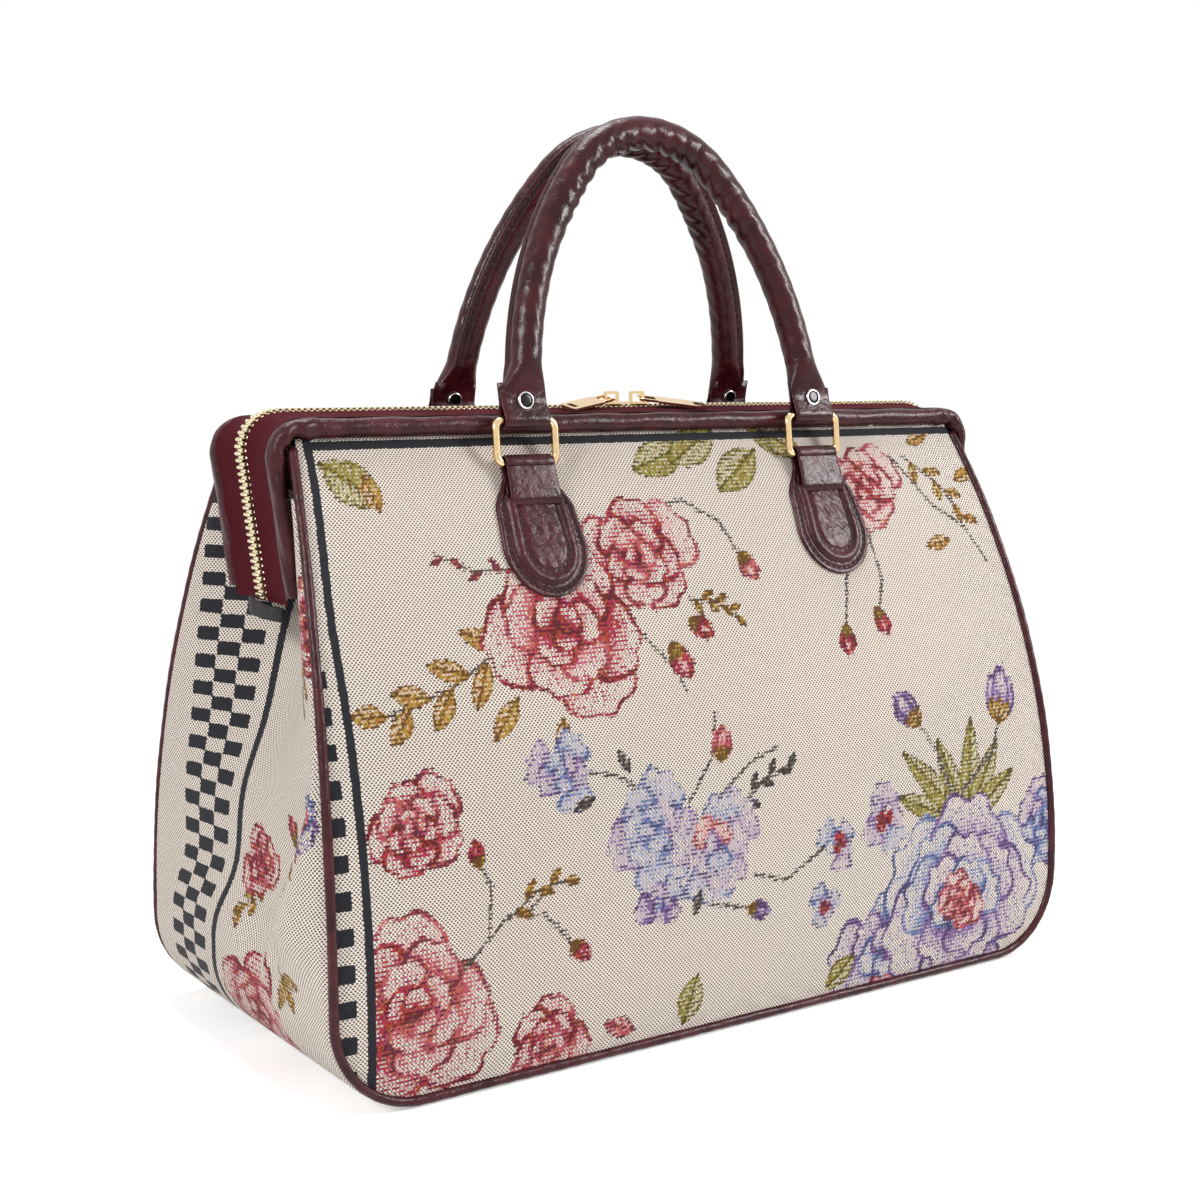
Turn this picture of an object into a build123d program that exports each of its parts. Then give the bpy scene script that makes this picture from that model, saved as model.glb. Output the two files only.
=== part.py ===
"""Tapestry carpet bag with a wire-stayed mouth, a two-way zip, and two rolled handles on rings.

Millimetres. The origin is the middle of the base on the floor, +X to the right, -Y to the front, +Z up.
"""
import math
import os

from build123d import *

# Body: the two panels and the strip between them
body_width = 500.0
side_set_in = 20.5
body_depth = 226.0
mouth_depth = 68.0
panel_height = 325.0
corner_radius = 50.0
wall = 2.4
seam_gap = 0.3

# Gusset: the sides are folded inward, most of all near the top
gusset_drop = 29.0
fold_depth = 44.0
fold_station_shares = (0.0, 0.25, 0.5, 0.75, 1.0)
fold_depth_shares = (0.0, 0.34, 0.7, 0.96, 1.0)

# Base board inside
board_thickness = 2.8
board_margin = 6.0

# Piping along the panel edges
piping_radius = 2.5
piping_lift = 0.2
piping_gap = 0.5
piping_top_gap = 5.0

# Mouth frame: a bent wire in a sleeve along each long edge
sleeve_radius = 5.0
sleeve_wall = 1.7
stay_radius = 3.0
sleeve_stand_off = 1.0
sleeve_overhang = 8.5
sleeve_leg_drop = 84.0
sleeve_leg_set_in = 11.0
sleeve_bend = 14.0
sleeve_lift = 0.1

# Zip: two tapes, two rows of teeth, and their end pieces
chain_rise = 8.0
tape_thickness = 0.8
tape_edge_rise = 5.4
tape_sag_rise = 4.2
tape_inset = 1.0
tooth_pitch = 4.0
tooth_length = 2.0
tooth_height = 2.4
tooth_reach = 3.4
bead_width = 1.0
chain_gap = 1.8
zip_end_length = 9.0
zip_end_width = 15.0
zip_end_thickness = 3.0

# Zip sliders
slider_length = 12.0
slider_width = 9.0
slider_plate = 1.2
slider_play = 0.3
bridge_length = 5.0
bridge_thickness = 1.2
slider_place = 9.0
crown_length = 10.0
crown_height = 6.1
crown_wall = 1.6
crown_width = 1.6

# Zip pulls: a loop under the crown and a slotted plate
pull_loop_length = 11.0
pull_loop_width = 8.8
pull_wire = 1.4
pull_play = 0.8
pull_length = 30.0
pull_width = 11.0
pull_corner = 1.5
pull_slot_length = 4.0
pull_slot_width = 6.0
pull_slot_margin = 3.0
pull_yaw = 20.0
pull_roll = -15.0
pull_droop = 7.0

# Rings
ring_wire_radius = 2.2
ring_inner_width = 32.5
ring_height = 22.6
ring_corner = 4.5
ring_lean = 6.0
ring_foot_drop = 15.0
ring_play = 0.35

# Handle tabs
tab_leather = 2.0
tab_seat = 0.15
loop_seat = 0.3
tab_width = 52.0
tab_top_width = 41.0
tab_top_drop = 20.0
tab_low_drop = 84.0
inner_tab_width = 38.0
inner_tab_top_width = 34.0
inner_tab_top_drop = 31.0
inner_tab_low_drop = 76.0
tab_strap_play = 1.25
tab_fold_drop = 38.0

# Handles: rolled tube, flat ends folded round the rings
handle_foot_spacing = 200.0
front_handle_centre = 3.0
back_handle_centre = 11.0
handle_lean = 10.7
handle_radius = 8.7
handle_height = 162.5
roll_height = 32.9
shoulder_angle = 50.0
leg_tilt = 8.0
end_leather = 2.2
end_play = 2.25
end_height = 17.0
flap_length = 14.0
flap_tilt = 14.0
seam_thickness = 2.4
seam_rise = 3.0
seam_turn = 40.0
gather_pitch = 11.0
gather_swell = 0.4
gather_shift = 0.8
gathered_share = 0.5

# Rivets
rivet_height = 10.4
rivet_cap_radius = 5.0
rivet_cap_rise = 2.4
rivet_shank_radius = 2.0
rivet_washer = 0.9
rivet_play = 0.1

# Sizes that follow
panel_set_in = (body_depth - mouth_depth) / 2
panel_rise = panel_height - corner_radius
bulge_radius = (panel_rise ** 2 + panel_set_in ** 2) / (2 * panel_set_in)
side_radius = (panel_rise ** 2 + side_set_in ** 2) / (2 * side_set_in)
gusset_height = panel_height - gusset_drop
sleeve_height = panel_height + sleeve_radius + sleeve_lift
sleeve_reach = mouth_depth / 2 + sleeve_stand_off
sleeve_half_span = body_width / 2 - side_set_in + sleeve_overhang
ring_foot_height = panel_height - ring_foot_drop
tab_strap_width = ring_inner_width - 2 * tab_strap_play
end_width = ring_inner_width - 2 * end_play
ring_hole_radius = ring_wire_radius + ring_play
axis_y = (0, 1, 0)


def set_back(radius, inset, height):
    """How far an arc that starts upright at the lower corners has come in at a height, for a surface inset."""
    if height <= corner_radius:
        return inset
    return radius - math.sqrt((radius - inset) ** 2 - (height - corner_radius) ** 2)


def panel_reach(height, inset=0.0):
    """Distance of the panel's face from the middle plane."""
    return body_depth / 2 - set_back(bulge_radius, inset, height)


def side_reach(height, inset=0.0):
    """Half width of the body above its lower corners."""
    return body_width / 2 - set_back(side_radius, inset, height)


def corner_edges(inset):
    """Base line and the two lower corners of the front view, from the left side to the right side."""
    flat = body_width / 2 - corner_radius
    far = body_width / 2 - inset
    bend = (corner_radius - inset) * math.sqrt(0.5)
    low = corner_radius - bend
    left = ThreePointArc((-far, corner_radius), (-flat - bend, low), (-flat, inset))
    right = ThreePointArc((flat, inset), (flat + bend, low), (far, corner_radius))
    return [left, Line((-flat, inset), (flat, inset)), right]


def body_outline(inset, top):
    """Front view of the body up to a height."""
    far = body_width / 2 - inset
    near = side_reach(top, inset)
    left = TangentArc((-far, corner_radius), (-near, top), tangent=(0, 1))
    right = TangentArc((far, corner_radius), (near, top), tangent=(0, 1))
    return make_face([*corner_edges(inset), left, right, Line((-near, top), (near, top))])


def face_curve(inset, low, high):
    """Front panel's face in side view, from one height to another above the lower corners."""
    middle = (low + high) / 2
    places = [(-panel_reach(height, inset), height) for height in (low, middle, high)]
    return ThreePointArc(*places)


def face_layer(inner, outer, low, high):
    """Side view of a layer that lies along the front panel."""
    start = Line((-panel_reach(low, inner), low), (-panel_reach(low, outer), low))
    end = Line((-panel_reach(high, inner), high), (-panel_reach(high, outer), high))
    return make_face([face_curve(inner, low, high), face_curve(outer, low, high), start, end])


def across(face, half_width):
    """Side-view face pulled out both ways along X."""
    return extrude(Plane.YZ * face, half_width, both=True)


def through(face):
    """Front-view face pulled out through the whole depth."""
    return extrude(Plane.XZ * face, body_depth, both=True)


def panel():
    """Front panel: upright below the corners, then curved in to the mouth."""
    inset = 2 * piping_radius + piping_lift + piping_gap
    middle = wall / 2 - body_depth / 2
    upright = Pos(middle, corner_radius / 2) * Rectangle(wall, corner_radius)
    layer = upright + face_layer(wall, 0.0, corner_radius, panel_height)
    return across(layer, body_width / 2) & through(body_outline(inset, panel_height))


def fold_section(height, depth):
    """Cut through the left side of the gusset at a height, folded inward by a depth."""
    half = panel_reach(height, wall) - seam_gap
    outer = -side_reach(height)
    shares = (-1.0, -0.5, 0.0, 0.5, 1.0)
    places = [(outer + depth * (1 + math.cos(math.pi * share)) / 2, half * share) for share in shares]
    face_side = Spline(*places)
    lining_side = Spline(*[(x + wall, y) for x, y in places])
    ends = [Line(face_side @ share, lining_side @ share) for share in (0, 1)]
    return Pos(0, 0, height) * make_face([face_side, lining_side, *ends])


def gusset():
    """Strip up the left side, under the base and up the right side."""
    outer = corner_edges(0.0)
    inner = corner_edges(wall)
    ends = [Line(outer[0] @ 0, inner[0] @ 0), Line(outer[2] @ 1, inner[2] @ 1)]
    half_depth = body_depth / 2 - wall - seam_gap
    base = extrude(Plane.XZ * make_face([*outer, *inner, *ends]), half_depth, both=True)
    sections = []
    for station, share in zip(fold_station_shares, fold_depth_shares):
        height = corner_radius + station * (gusset_height - corner_radius)
        sections.append(fold_section(height, share * fold_depth))
    side = loft(sections)
    return base + side + mirror(side, about=Plane.YZ)


def base_board():
    """Stiff board on the base, inside the lower corners."""
    length = body_width - 2 * corner_radius
    depth = body_depth - 2 * (wall + board_margin)
    return Pos(0, 0, wall + board_thickness / 2) * Box(length, depth, board_thickness)


def rising_arc(start, end):
    """Arc in space that leaves its start straight up."""
    run = Vector(end.X - start.X, end.Y - start.Y, 0)
    rise = end.Z - start.Z
    radius = (run.length ** 2 + rise ** 2) / (2 * run.length)
    half_turn = math.atan2(rise, radius - run.length) / 2
    middle = start + run.normalized() * (radius * (1 - math.cos(half_turn)))
    middle = middle + Vector(0, 0, radius * math.sin(half_turn))
    return ThreePointArc(start, middle, end)


def sweep_round(radius, path):
    """Round rod along a path."""
    return sweep(Plane(origin=path @ 0, z_dir=path % 0) * Circle(radius), path=path)


def piping():
    """Cord along the side and base edges of the front panel."""
    inset = piping_radius + piping_lift
    lower = [Pos(0, -body_depth / 2, 0) * (Plane.XZ * edge) for edge in corner_edges(inset)]
    top = panel_height - piping_top_gap
    rises = []
    for side, foot in ((-1, lower[0] @ 0), (1, lower[2] @ 1)):
        head = Vector(side * side_reach(top, inset), -panel_reach(top), top)
        rises.append(rising_arc(foot, head))
    path = Wire([rises[0], *lower, rises[1]])
    return sweep_round(piping_radius, path)


def mouth_path(y):
    """Middle line of a mouth sleeve: up one leg, along the mouth and down the other leg."""
    low = sleeve_height - sleeve_leg_drop
    half_top = sleeve_half_span
    half_end = sleeve_half_span - sleeve_leg_set_in
    corners = [(-half_end, low), (-half_top, sleeve_height), (half_top, sleeve_height), (half_end, low)]
    return Pos(0, y, 0) * (Plane.XZ * FilletPolyline(*corners, radius=sleeve_bend))


def mouth_sleeve():
    """Leatherette casing, open at both ends."""
    path = mouth_path(-sleeve_reach)
    return sweep_round(sleeve_radius, path) - sweep_round(sleeve_radius - sleeve_wall, path)


def mouth_stay():
    """Bent wire inside the casing."""
    return sweep_round(stay_radius, mouth_path(-sleeve_reach))


def along_mouth(path, share):
    """Plane across the mouth line: local x to the back, local y outward, local z along the line."""
    return Plane(origin=path @ share, x_dir=axis_y, z_dir=path % share)


def zip_tape():
    """Front tape: slack between the sleeve and the teeth."""
    path = mouth_path(0)
    edge = tape_inset - sleeve_reach
    middle = (edge - tooth_reach) / 2
    half = tape_thickness / 2
    curves = []
    for offset in (-half, half):
        places = [(edge, tape_edge_rise + offset), (middle, tape_sag_rise + offset)]
        curves.append(ThreePointArc(*places, (-tooth_reach, chain_rise + offset)))
    ends = [Line(curves[0] @ share, curves[1] @ share) for share in (0, 1)]
    return sweep(along_mouth(path, 0) * make_face([*curves, *ends]), path=path)


def zip_teeth(first_share):
    """Front row of teeth on the cord at the edge of its tape."""
    path = mouth_path(0)
    bead_middle = bead_width / 2 - tooth_reach
    bead = Pos(bead_middle, chain_rise) * Rectangle(bead_width, tooth_height)
    row = sweep(along_mouth(path, 0) * bead, path=path)
    reach = tooth_reach - bead_width - chain_gap / 2
    middle = -(chain_gap + reach) / 2
    count = int(path.length / tooth_pitch)
    teeth = []
    for index in range(count):
        place = along_mouth(path, (index + first_share) / count)
        teeth.append(place * Pos(middle, chain_rise, 0) * Box(reach, tooth_height, tooth_length))
    return row.fuse(*teeth)


def zip_end():
    """Dark piece across the lower end of both tapes, left side."""
    place = along_mouth(mouth_path(0), 0)
    block = Box(zip_end_width, zip_end_thickness, zip_end_length)
    return place * Pos(0, chain_rise, -zip_end_length / 2) * block


def slider_frame():
    """Plane of the left slider on the zip: its nose points to the middle."""
    return Pos(-slider_place, 0, sleeve_height + chain_rise)


def slider():
    """Two plates round the teeth, the bridge between them, and the crown that holds the pull."""
    level = tooth_height / 2 + slider_play + slider_plate / 2
    plates = [Pos(0, 0, side * level) * Box(slider_length, slider_width, slider_plate) for side in (-1, 1)]
    nose = (slider_length - bridge_length) / 2
    bridge = Pos(nose, 0, 0) * Box(bridge_length, bridge_thickness, 2 * level)
    seat = level + slider_plate / 2
    outer = Pos(0, 0, seat + crown_height / 2) * Box(crown_length, crown_width, crown_height)
    opening = Box(crown_length - 2 * crown_wall, crown_width, crown_height - crown_wall)
    crown = fillet(outer.edges().filter_by(Axis.Y).group_by(Axis.Z)[-1], crown_wall)
    crown = crown - Pos(0, 0, seat + (crown_height - crown_wall) / 2) * opening
    return slider_frame() * (plates[0] + plates[1] + bridge + crown)


def pull():
    """Slotted plate on a loop, lying outward and a little forward of the left slider."""
    loop = Pos(pull_loop_length / 2, 0) * Rectangle(pull_loop_length, pull_loop_width)
    hole_length = pull_loop_length - pull_wire
    hole = Pos(hole_length / 2, 0) * Rectangle(hole_length, pull_loop_width - 2 * pull_wire)
    bar = Rot(90, 0, 0) * Cylinder(pull_wire / 2, pull_loop_width)
    plate_start = pull_loop_length - pull_wire / 2
    plate = Pos(plate_start + pull_length / 2, 0) * RectangleRounded(pull_length, pull_width, pull_corner)
    slot_place = plate_start + pull_length - pull_slot_margin - pull_slot_length / 2
    slot = Pos(slot_place, 0) * Rectangle(pull_slot_length, pull_slot_width)
    body = extrude(loop + plate - hole - slot, pull_wire / 2, both=True) + bar
    seat = tooth_height / 2 + slider_play + slider_plate
    rise = seat + (crown_height - crown_wall) / 2
    back = (crown_length - pull_wire) / 2 - crown_wall - pull_play
    turn = Rot(0, 0, pull_yaw) * Rot(0, pull_droop, 0) * Rot(pull_roll, 0, 0)
    return slider_frame() * Pos(-back, 0, rise) * Rot(0, 0, 180) * turn * body


def ring_axis():
    """Middle of the ring's lower bar, seen from the side."""
    stand_off = loop_seat + tab_leather + ring_hole_radius
    return Pos(0, -panel_reach(ring_foot_height, -stand_off), ring_foot_height)


def ring():
    """Rectangular wire ring that stands on its lower bar."""
    half = ring_inner_width / 2 + ring_wire_radius
    corners = [(half, 0), (half, ring_height), (-half, ring_height), (-half, 0)]
    path = Plane.XZ * FilletPolyline(*corners, radius=ring_corner, close=True)
    return ring_axis() * Rot(-ring_lean, 0, 0) * sweep_round(ring_wire_radius, path)


def tongue(width, top_width, top_drop, low_drop, inner, outer):
    """Leather tongue with a round lower end that lies along the panel."""
    half = width / 2
    top = panel_height - top_drop
    low = panel_height - low_drop
    bend = low + half
    head = top_width / 2
    lower = ThreePointArc((-half, bend), (0, low), (half, bend))
    sides = [Line((side * half, bend), (side * head, top)) for side in (-1, 1)]
    view = make_face([lower, *sides, Line((-head, top), (head, top))])
    return across(face_layer(inner, outer, low, top), half) & through(view)


def tab():
    """Two tongues, one on the other, and the strap that joins them round the ring."""
    top_layer = -tab_seat - tab_leather
    wide = tongue(tab_width, tab_top_width, tab_top_drop, tab_low_drop, -tab_seat, top_layer)
    sizes = (inner_tab_width, inner_tab_top_width, inner_tab_top_drop, inner_tab_low_drop)
    narrow = tongue(*sizes, top_layer, top_layer - tab_leather)
    middle = ring_axis().position
    outline = Pos(middle.Y, middle.Z) * Circle(ring_hole_radius + tab_leather)
    low = panel_height - tab_fold_drop
    back = -panel_reach(low, -loop_seat)
    front = -panel_reach(low, -loop_seat - 2 * tab_leather)
    fold = make_hull([*outline.edges(), Line((back, low), (front, low))])
    fold = fold - Pos(middle.Y, middle.Z) * Circle(ring_hole_radius)
    return wide + narrow + across(fold, tab_strap_width / 2)


def handle_frame():
    """Plane of the front handle: origin in the rings' upper bars, leaning in to the middle."""
    return ring_axis() * Rot(-ring_lean, 0, 0) * Pos(0, 0, ring_height) * Rot(ring_lean - handle_lean, 0, 0)


def handle_path():
    """Middle line of the rolled part: a round crown, flatter shoulders, and legs that splay a little."""
    turn = math.radians(shoulder_angle)
    splay = math.radians(leg_tilt)
    end = math.pi / 2 - splay
    rise = handle_height - roll_height
    reach = handle_foot_spacing / 2 - math.tan(splay) * roll_height
    tall = math.cos(turn) - math.cos(end)
    wide = math.sin(end) - math.sin(turn)
    drop = 1 - math.cos(turn)
    balance = math.sin(turn) * tall - wide * drop
    crown_bend = (reach * tall - rise * wide) / balance
    shoulder_bend = (rise * math.sin(turn) - reach * drop) / balance
    shoulder = (crown_bend * math.sin(turn), handle_height - crown_bend * drop)
    centre = (shoulder[0] - shoulder_bend * math.sin(turn), shoulder[1] - shoulder_bend * math.cos(turn))

    def on_shoulder(angle):
        return (centre[0] + shoulder_bend * math.sin(angle), centre[1] + shoulder_bend * math.cos(angle))

    places = [on_shoulder(end), on_shoulder((turn + end) / 2), shoulder]
    right = ThreePointArc(*places)
    left = ThreePointArc(*[(-x, z) for x, z in reversed(places)])
    crown = ThreePointArc(shoulder, (0, handle_height), (-shoulder[0], shoulder[1]))
    return Wire([Plane.XZ * edge for edge in (right, crown, left)])


def handle_seam(path):
    """Stitched edge of the roll, on its outer side and turned to the middle of the bag."""
    place = Plane(origin=path @ 0, x_dir=axis_y, z_dir=path % 0)
    depth = seam_rise + handle_radius / 2
    strip = Pos(0, (seam_rise - handle_radius / 2) / 2 + handle_radius) * Rectangle(seam_thickness, depth)
    return sweep(place * Rot(0, 0, 180 + seam_turn) * strip, path=path)


def handle_gathers(path):
    """Puffs where the leather is gathered on the inner side of the bend."""
    count = round(gathered_share * path.length / gather_pitch)
    puffs = []
    for index in range(count):
        share = (1 - gathered_share) / 2 + gathered_share * (index + 1 / 2) / count
        inward = (path % share).cross(Vector(axis_y))
        puffs.append(Pos(path @ share + inward * gather_shift) * Sphere(handle_radius + gather_swell))
    return puffs


def handle():
    """Rolled tube with two flat ends, each folded round its ring and back on itself."""
    path = handle_path()
    body = sweep_round(handle_radius, path).fuse(*handle_gathers(path)) + handle_seam(path)
    hole = Circle(ring_hole_radius)
    strap = Pos(0, end_height / 2) * Rectangle(2 * end_leather, end_height)
    lug = across(Circle(ring_hole_radius + end_leather) + strap - hole, end_width / 2)
    bore = Pos(0, 0, rivet_height) * Rot(90, 0, 0) * Cylinder(rivet_shank_radius + rivet_play, 4 * end_leather)
    flap = Pos(0, 0, flap_length / 2) * Box(end_width - end_leather, end_leather, flap_length)
    flap = Pos(0, end_leather / 2, end_height - end_leather / 2) * Rot(-flap_tilt, 0, 0) * flap
    foot = handle_foot_spacing / 2
    tip = path @ 0
    for side in (-1, 1):
        flat = Plane(origin=(side * foot, 0, end_height)) * Rectangle(end_width, 2 * end_leather)
        splay = Vector(-side * math.sin(math.radians(leg_tilt)), 0, math.cos(math.radians(leg_tilt)))
        rolled = Plane(origin=(side * tip.X, 0, tip.Z), x_dir=axis_y, z_dir=splay) * Circle(handle_radius)
        body = body + loft([flat, rolled]) + Pos(side * foot, 0, 0) * (lug + flap - bore)
    return handle_frame() * body


def rivet():
    """Domed cap, shank and washer through the middle of a handle end."""
    dome_radius = (rivet_cap_radius ** 2 + rivet_cap_rise ** 2) / (2 * rivet_cap_rise)
    dome = Pos(0, 0, rivet_cap_rise - dome_radius) * Sphere(dome_radius)
    slab = Pos(0, 0, rivet_cap_rise / 2) * Cylinder(rivet_cap_radius, rivet_cap_rise)
    cap = Pos(0, 0, end_leather) * (dome & slab)
    shank_length = 2 * end_leather + rivet_washer
    shank = Pos(0, 0, -rivet_washer / 2) * Cylinder(rivet_shank_radius, shank_length)
    washer = Pos(0, 0, -end_leather - rivet_washer / 2) * Cylinder(rivet_cap_radius, rivet_washer)
    return Pos(0, 0, rivet_height) * Rot(90, 0, 0) * (cap + shank + washer)


def to_back(shape):
    """Same piece on the back of the bag."""
    return mirror(shape, about=Plane.XZ)


def to_right(shape):
    """Same piece at the right end of the bag."""
    return mirror(shape, about=Plane.YZ)


# Pieces sewn into the bag, made for the front or the left and mirrored
nodes = {"gusset": gusset(), "base_board": base_board()}
for name, shape in {
    "panel": panel(),
    "piping": piping(),
    "mouth_sleeve": mouth_sleeve(),
    "mouth_stay": mouth_stay(),
    "zip_tape": zip_tape(),
}.items():
    nodes["front_" + name] = shape
    nodes["back_" + name] = to_back(shape)
nodes["front_zip_teeth"] = zip_teeth(0.25)
nodes["back_zip_teeth"] = to_back(zip_teeth(0.75))
for name, shape in {"zip_end": zip_end(), "zip_slider": slider(), "zip_pull": pull()}.items():
    nodes["left_" + name] = shape
    nodes["right_" + name] = to_right(shape)

# Handles and their fittings on both faces
centres = {"front": front_handle_centre, "back": back_handle_centre}
fittings = {"tab": tab(), "ring": ring(), "rivet": handle_frame() * rivet()}
rolled_handle = handle()
for face, centre in centres.items():
    turn = to_back if face == "back" else (lambda shape: shape)
    nodes[face + "_handle"] = Pos(centre, 0, 0) * turn(rolled_handle)
    for side, name in ((-1, "left"), (1, "right")):
        place = Pos(centre + side * handle_foot_spacing / 2, 0, 0)
        for fitting, shape in fittings.items():
            nodes[f"{face}_{name}_{fitting}"] = place * turn(shape)

os.makedirs("parts", exist_ok=True)
for name, shape in nodes.items():
    export_step(shape, f"parts/{name}.step")
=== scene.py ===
# %% [markdown]
# # A tapestry carpet bag
#
# The bag stands on a white floor: two tapestry panels, a folded gusset, maroon leatherette trim, a gold zip
# and two rolled handles on gold rings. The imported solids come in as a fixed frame, and the soft pieces are
# made again here with cloth and leather detail, each in the place of its solid.

# %% Load the frame
import bpy
import math
import numpy as np
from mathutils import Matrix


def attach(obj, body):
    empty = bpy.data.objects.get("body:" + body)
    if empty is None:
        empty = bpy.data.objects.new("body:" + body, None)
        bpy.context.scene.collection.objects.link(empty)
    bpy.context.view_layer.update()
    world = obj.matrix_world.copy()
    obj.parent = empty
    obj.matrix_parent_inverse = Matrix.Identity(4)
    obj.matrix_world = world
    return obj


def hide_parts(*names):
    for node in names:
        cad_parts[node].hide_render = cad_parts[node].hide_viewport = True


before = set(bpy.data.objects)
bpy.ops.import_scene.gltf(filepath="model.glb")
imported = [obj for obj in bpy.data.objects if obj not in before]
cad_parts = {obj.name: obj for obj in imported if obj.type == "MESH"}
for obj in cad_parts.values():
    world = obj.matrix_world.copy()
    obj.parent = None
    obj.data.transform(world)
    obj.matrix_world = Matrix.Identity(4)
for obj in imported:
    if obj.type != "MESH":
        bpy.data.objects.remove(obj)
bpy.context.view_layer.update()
MM = 0.001
FACES, SIDES = ((-1, "front"), (1, "back")), ((-1, "left"), (1, "right"))
print("nodes in the frame:", len(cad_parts))

# %% [markdown]
# ## The bag's outline
#
# All pieces share a few curves. Seen from the side, each panel is upright for 50 mm and then leans in on
# one large arc. Seen from the front, the sides lean in on a larger arc still. Writing these two curves
# once, in millimetres, lets every seam, tab and piping cord land on the same surface.

# %% Curves of the body
WIDTH, DEPTH, HEIGHT, CORNER = 500.0, 226.0, 325.0, 50.0
MOUTH_HALF, SIDE_SET_IN = 34.0, 20.5
RISE, FLAT = HEIGHT - CORNER, WIDTH / 2 - CORNER


def arc_radius(set_in):
    return (RISE ** 2 + set_in ** 2) / (2 * set_in)


BULGE, SIDE = arc_radius(DEPTH / 2 - MOUTH_HALF), arc_radius(SIDE_SET_IN)


def set_back(radius, inset, z):
    above = np.maximum(z - CORNER, 0.0)
    return radius - np.sqrt((radius - inset) ** 2 - above ** 2)


def panel_reach(z, inset=0.0):
    return DEPTH / 2 - set_back(BULGE, inset, z)


def side_reach(z, inset=0.0):
    return WIDTH / 2 - set_back(SIDE, inset, z)


def half_width(z, inset):
    low = np.clip(CORNER - z, 0.0, CORNER - inset)
    corner = FLAT + np.sqrt((CORNER - inset) ** 2 - low ** 2)
    return np.where(z < CORNER, corner, side_reach(z, inset))


def height_on_panel(t):
    return np.where(t < CORNER, t, CORNER + BULGE * np.sin(np.maximum(t - CORNER, 0) / BULGE))


PANEL_TOP = CORNER + BULGE * math.asin(RISE / BULGE)
print("panel length along the cloth:", round(PANEL_TOP), "mm")

# %% [markdown]
# ## Small tools
#
# Blender takes a mesh as points and faces. Most pieces here are grids: rows of points that are joined into
# quads, open like a sheet or closed like a tube. Numpy works out all the points at once, which is quick and
# keeps the shapes exact, and it suits cloth, where colour and relief follow the threads.

# %% Vectors and grids
def unit(v):
    return v / np.linalg.norm(v, axis=-1, keepdims=True)


def smooth(low, high, x):
    t = np.clip((x - low) / (high - low), 0, 1)
    return t * t * (3 - 2 * t)


def grid_quads(rows, cols, closed=False):
    index = np.arange(rows * cols).reshape(rows, cols)
    left = index if closed else index[:, :-1]
    right = np.roll(index, -1, axis=1) if closed else index[:, 1:]
    return np.stack([left[:-1], right[:-1], right[1:], left[1:]], -1).reshape(-1, 4)


def grid_corners(values):
    return values.reshape(-1, values.shape[-1])[grid_quads(*values.shape[:2])]


print("quads in a grid of 3 by 4 points:", len(grid_quads(3, 4)))


# %% Pieces
def add_piece(name, points, faces, material, slot, replaced=None, body="bag", uv=None, colours=None):
    mesh = bpy.data.meshes.new(name)
    mesh.from_pydata((points.reshape(-1, 3) * MM).tolist(), [], [list(map(int, f)) for f in faces])
    if uv is not None:
        layer = mesh.uv_layers.new(name="threads")
        layer.data.foreach_set("uv", np.asarray(uv, np.float32).ravel())
    for layer_name, values in (colours or {}).items():
        attribute = mesh.color_attributes.new(layer_name, "FLOAT_COLOR", "POINT")
        attribute.data.foreach_set("color", np.asarray(values, np.float32).ravel())
    mesh.polygons.foreach_set("use_smooth", [True] * len(mesh.polygons))
    mesh.materials.append(material)
    mesh.update()
    piece = bpy.data.objects.new(name, mesh)
    bpy.context.scene.collection.objects.link(piece)
    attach(piece, body)
    if replaced:
        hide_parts(replaced)
    print(name, "triangles:", sum(len(p.vertices) - 2 for p in mesh.polygons))


# %% [markdown]
# A node material is a small graph. These helpers add a node with its settings and links in one line, so
# each finish below reads as a short recipe.

# %% Colours
def rgb(red, green, blue):
    levels = np.array([red, green, blue]) / 255.0
    return tuple(np.where(levels <= 0.04045, levels / 12.92, ((levels + 0.055) / 1.055) ** 2.4))


def tint(colour, factor):
    return tuple(factor * c for c in colour)


print("middle grey as linear light:", round(rgb(128, 128, 128)[0], 3))


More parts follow.
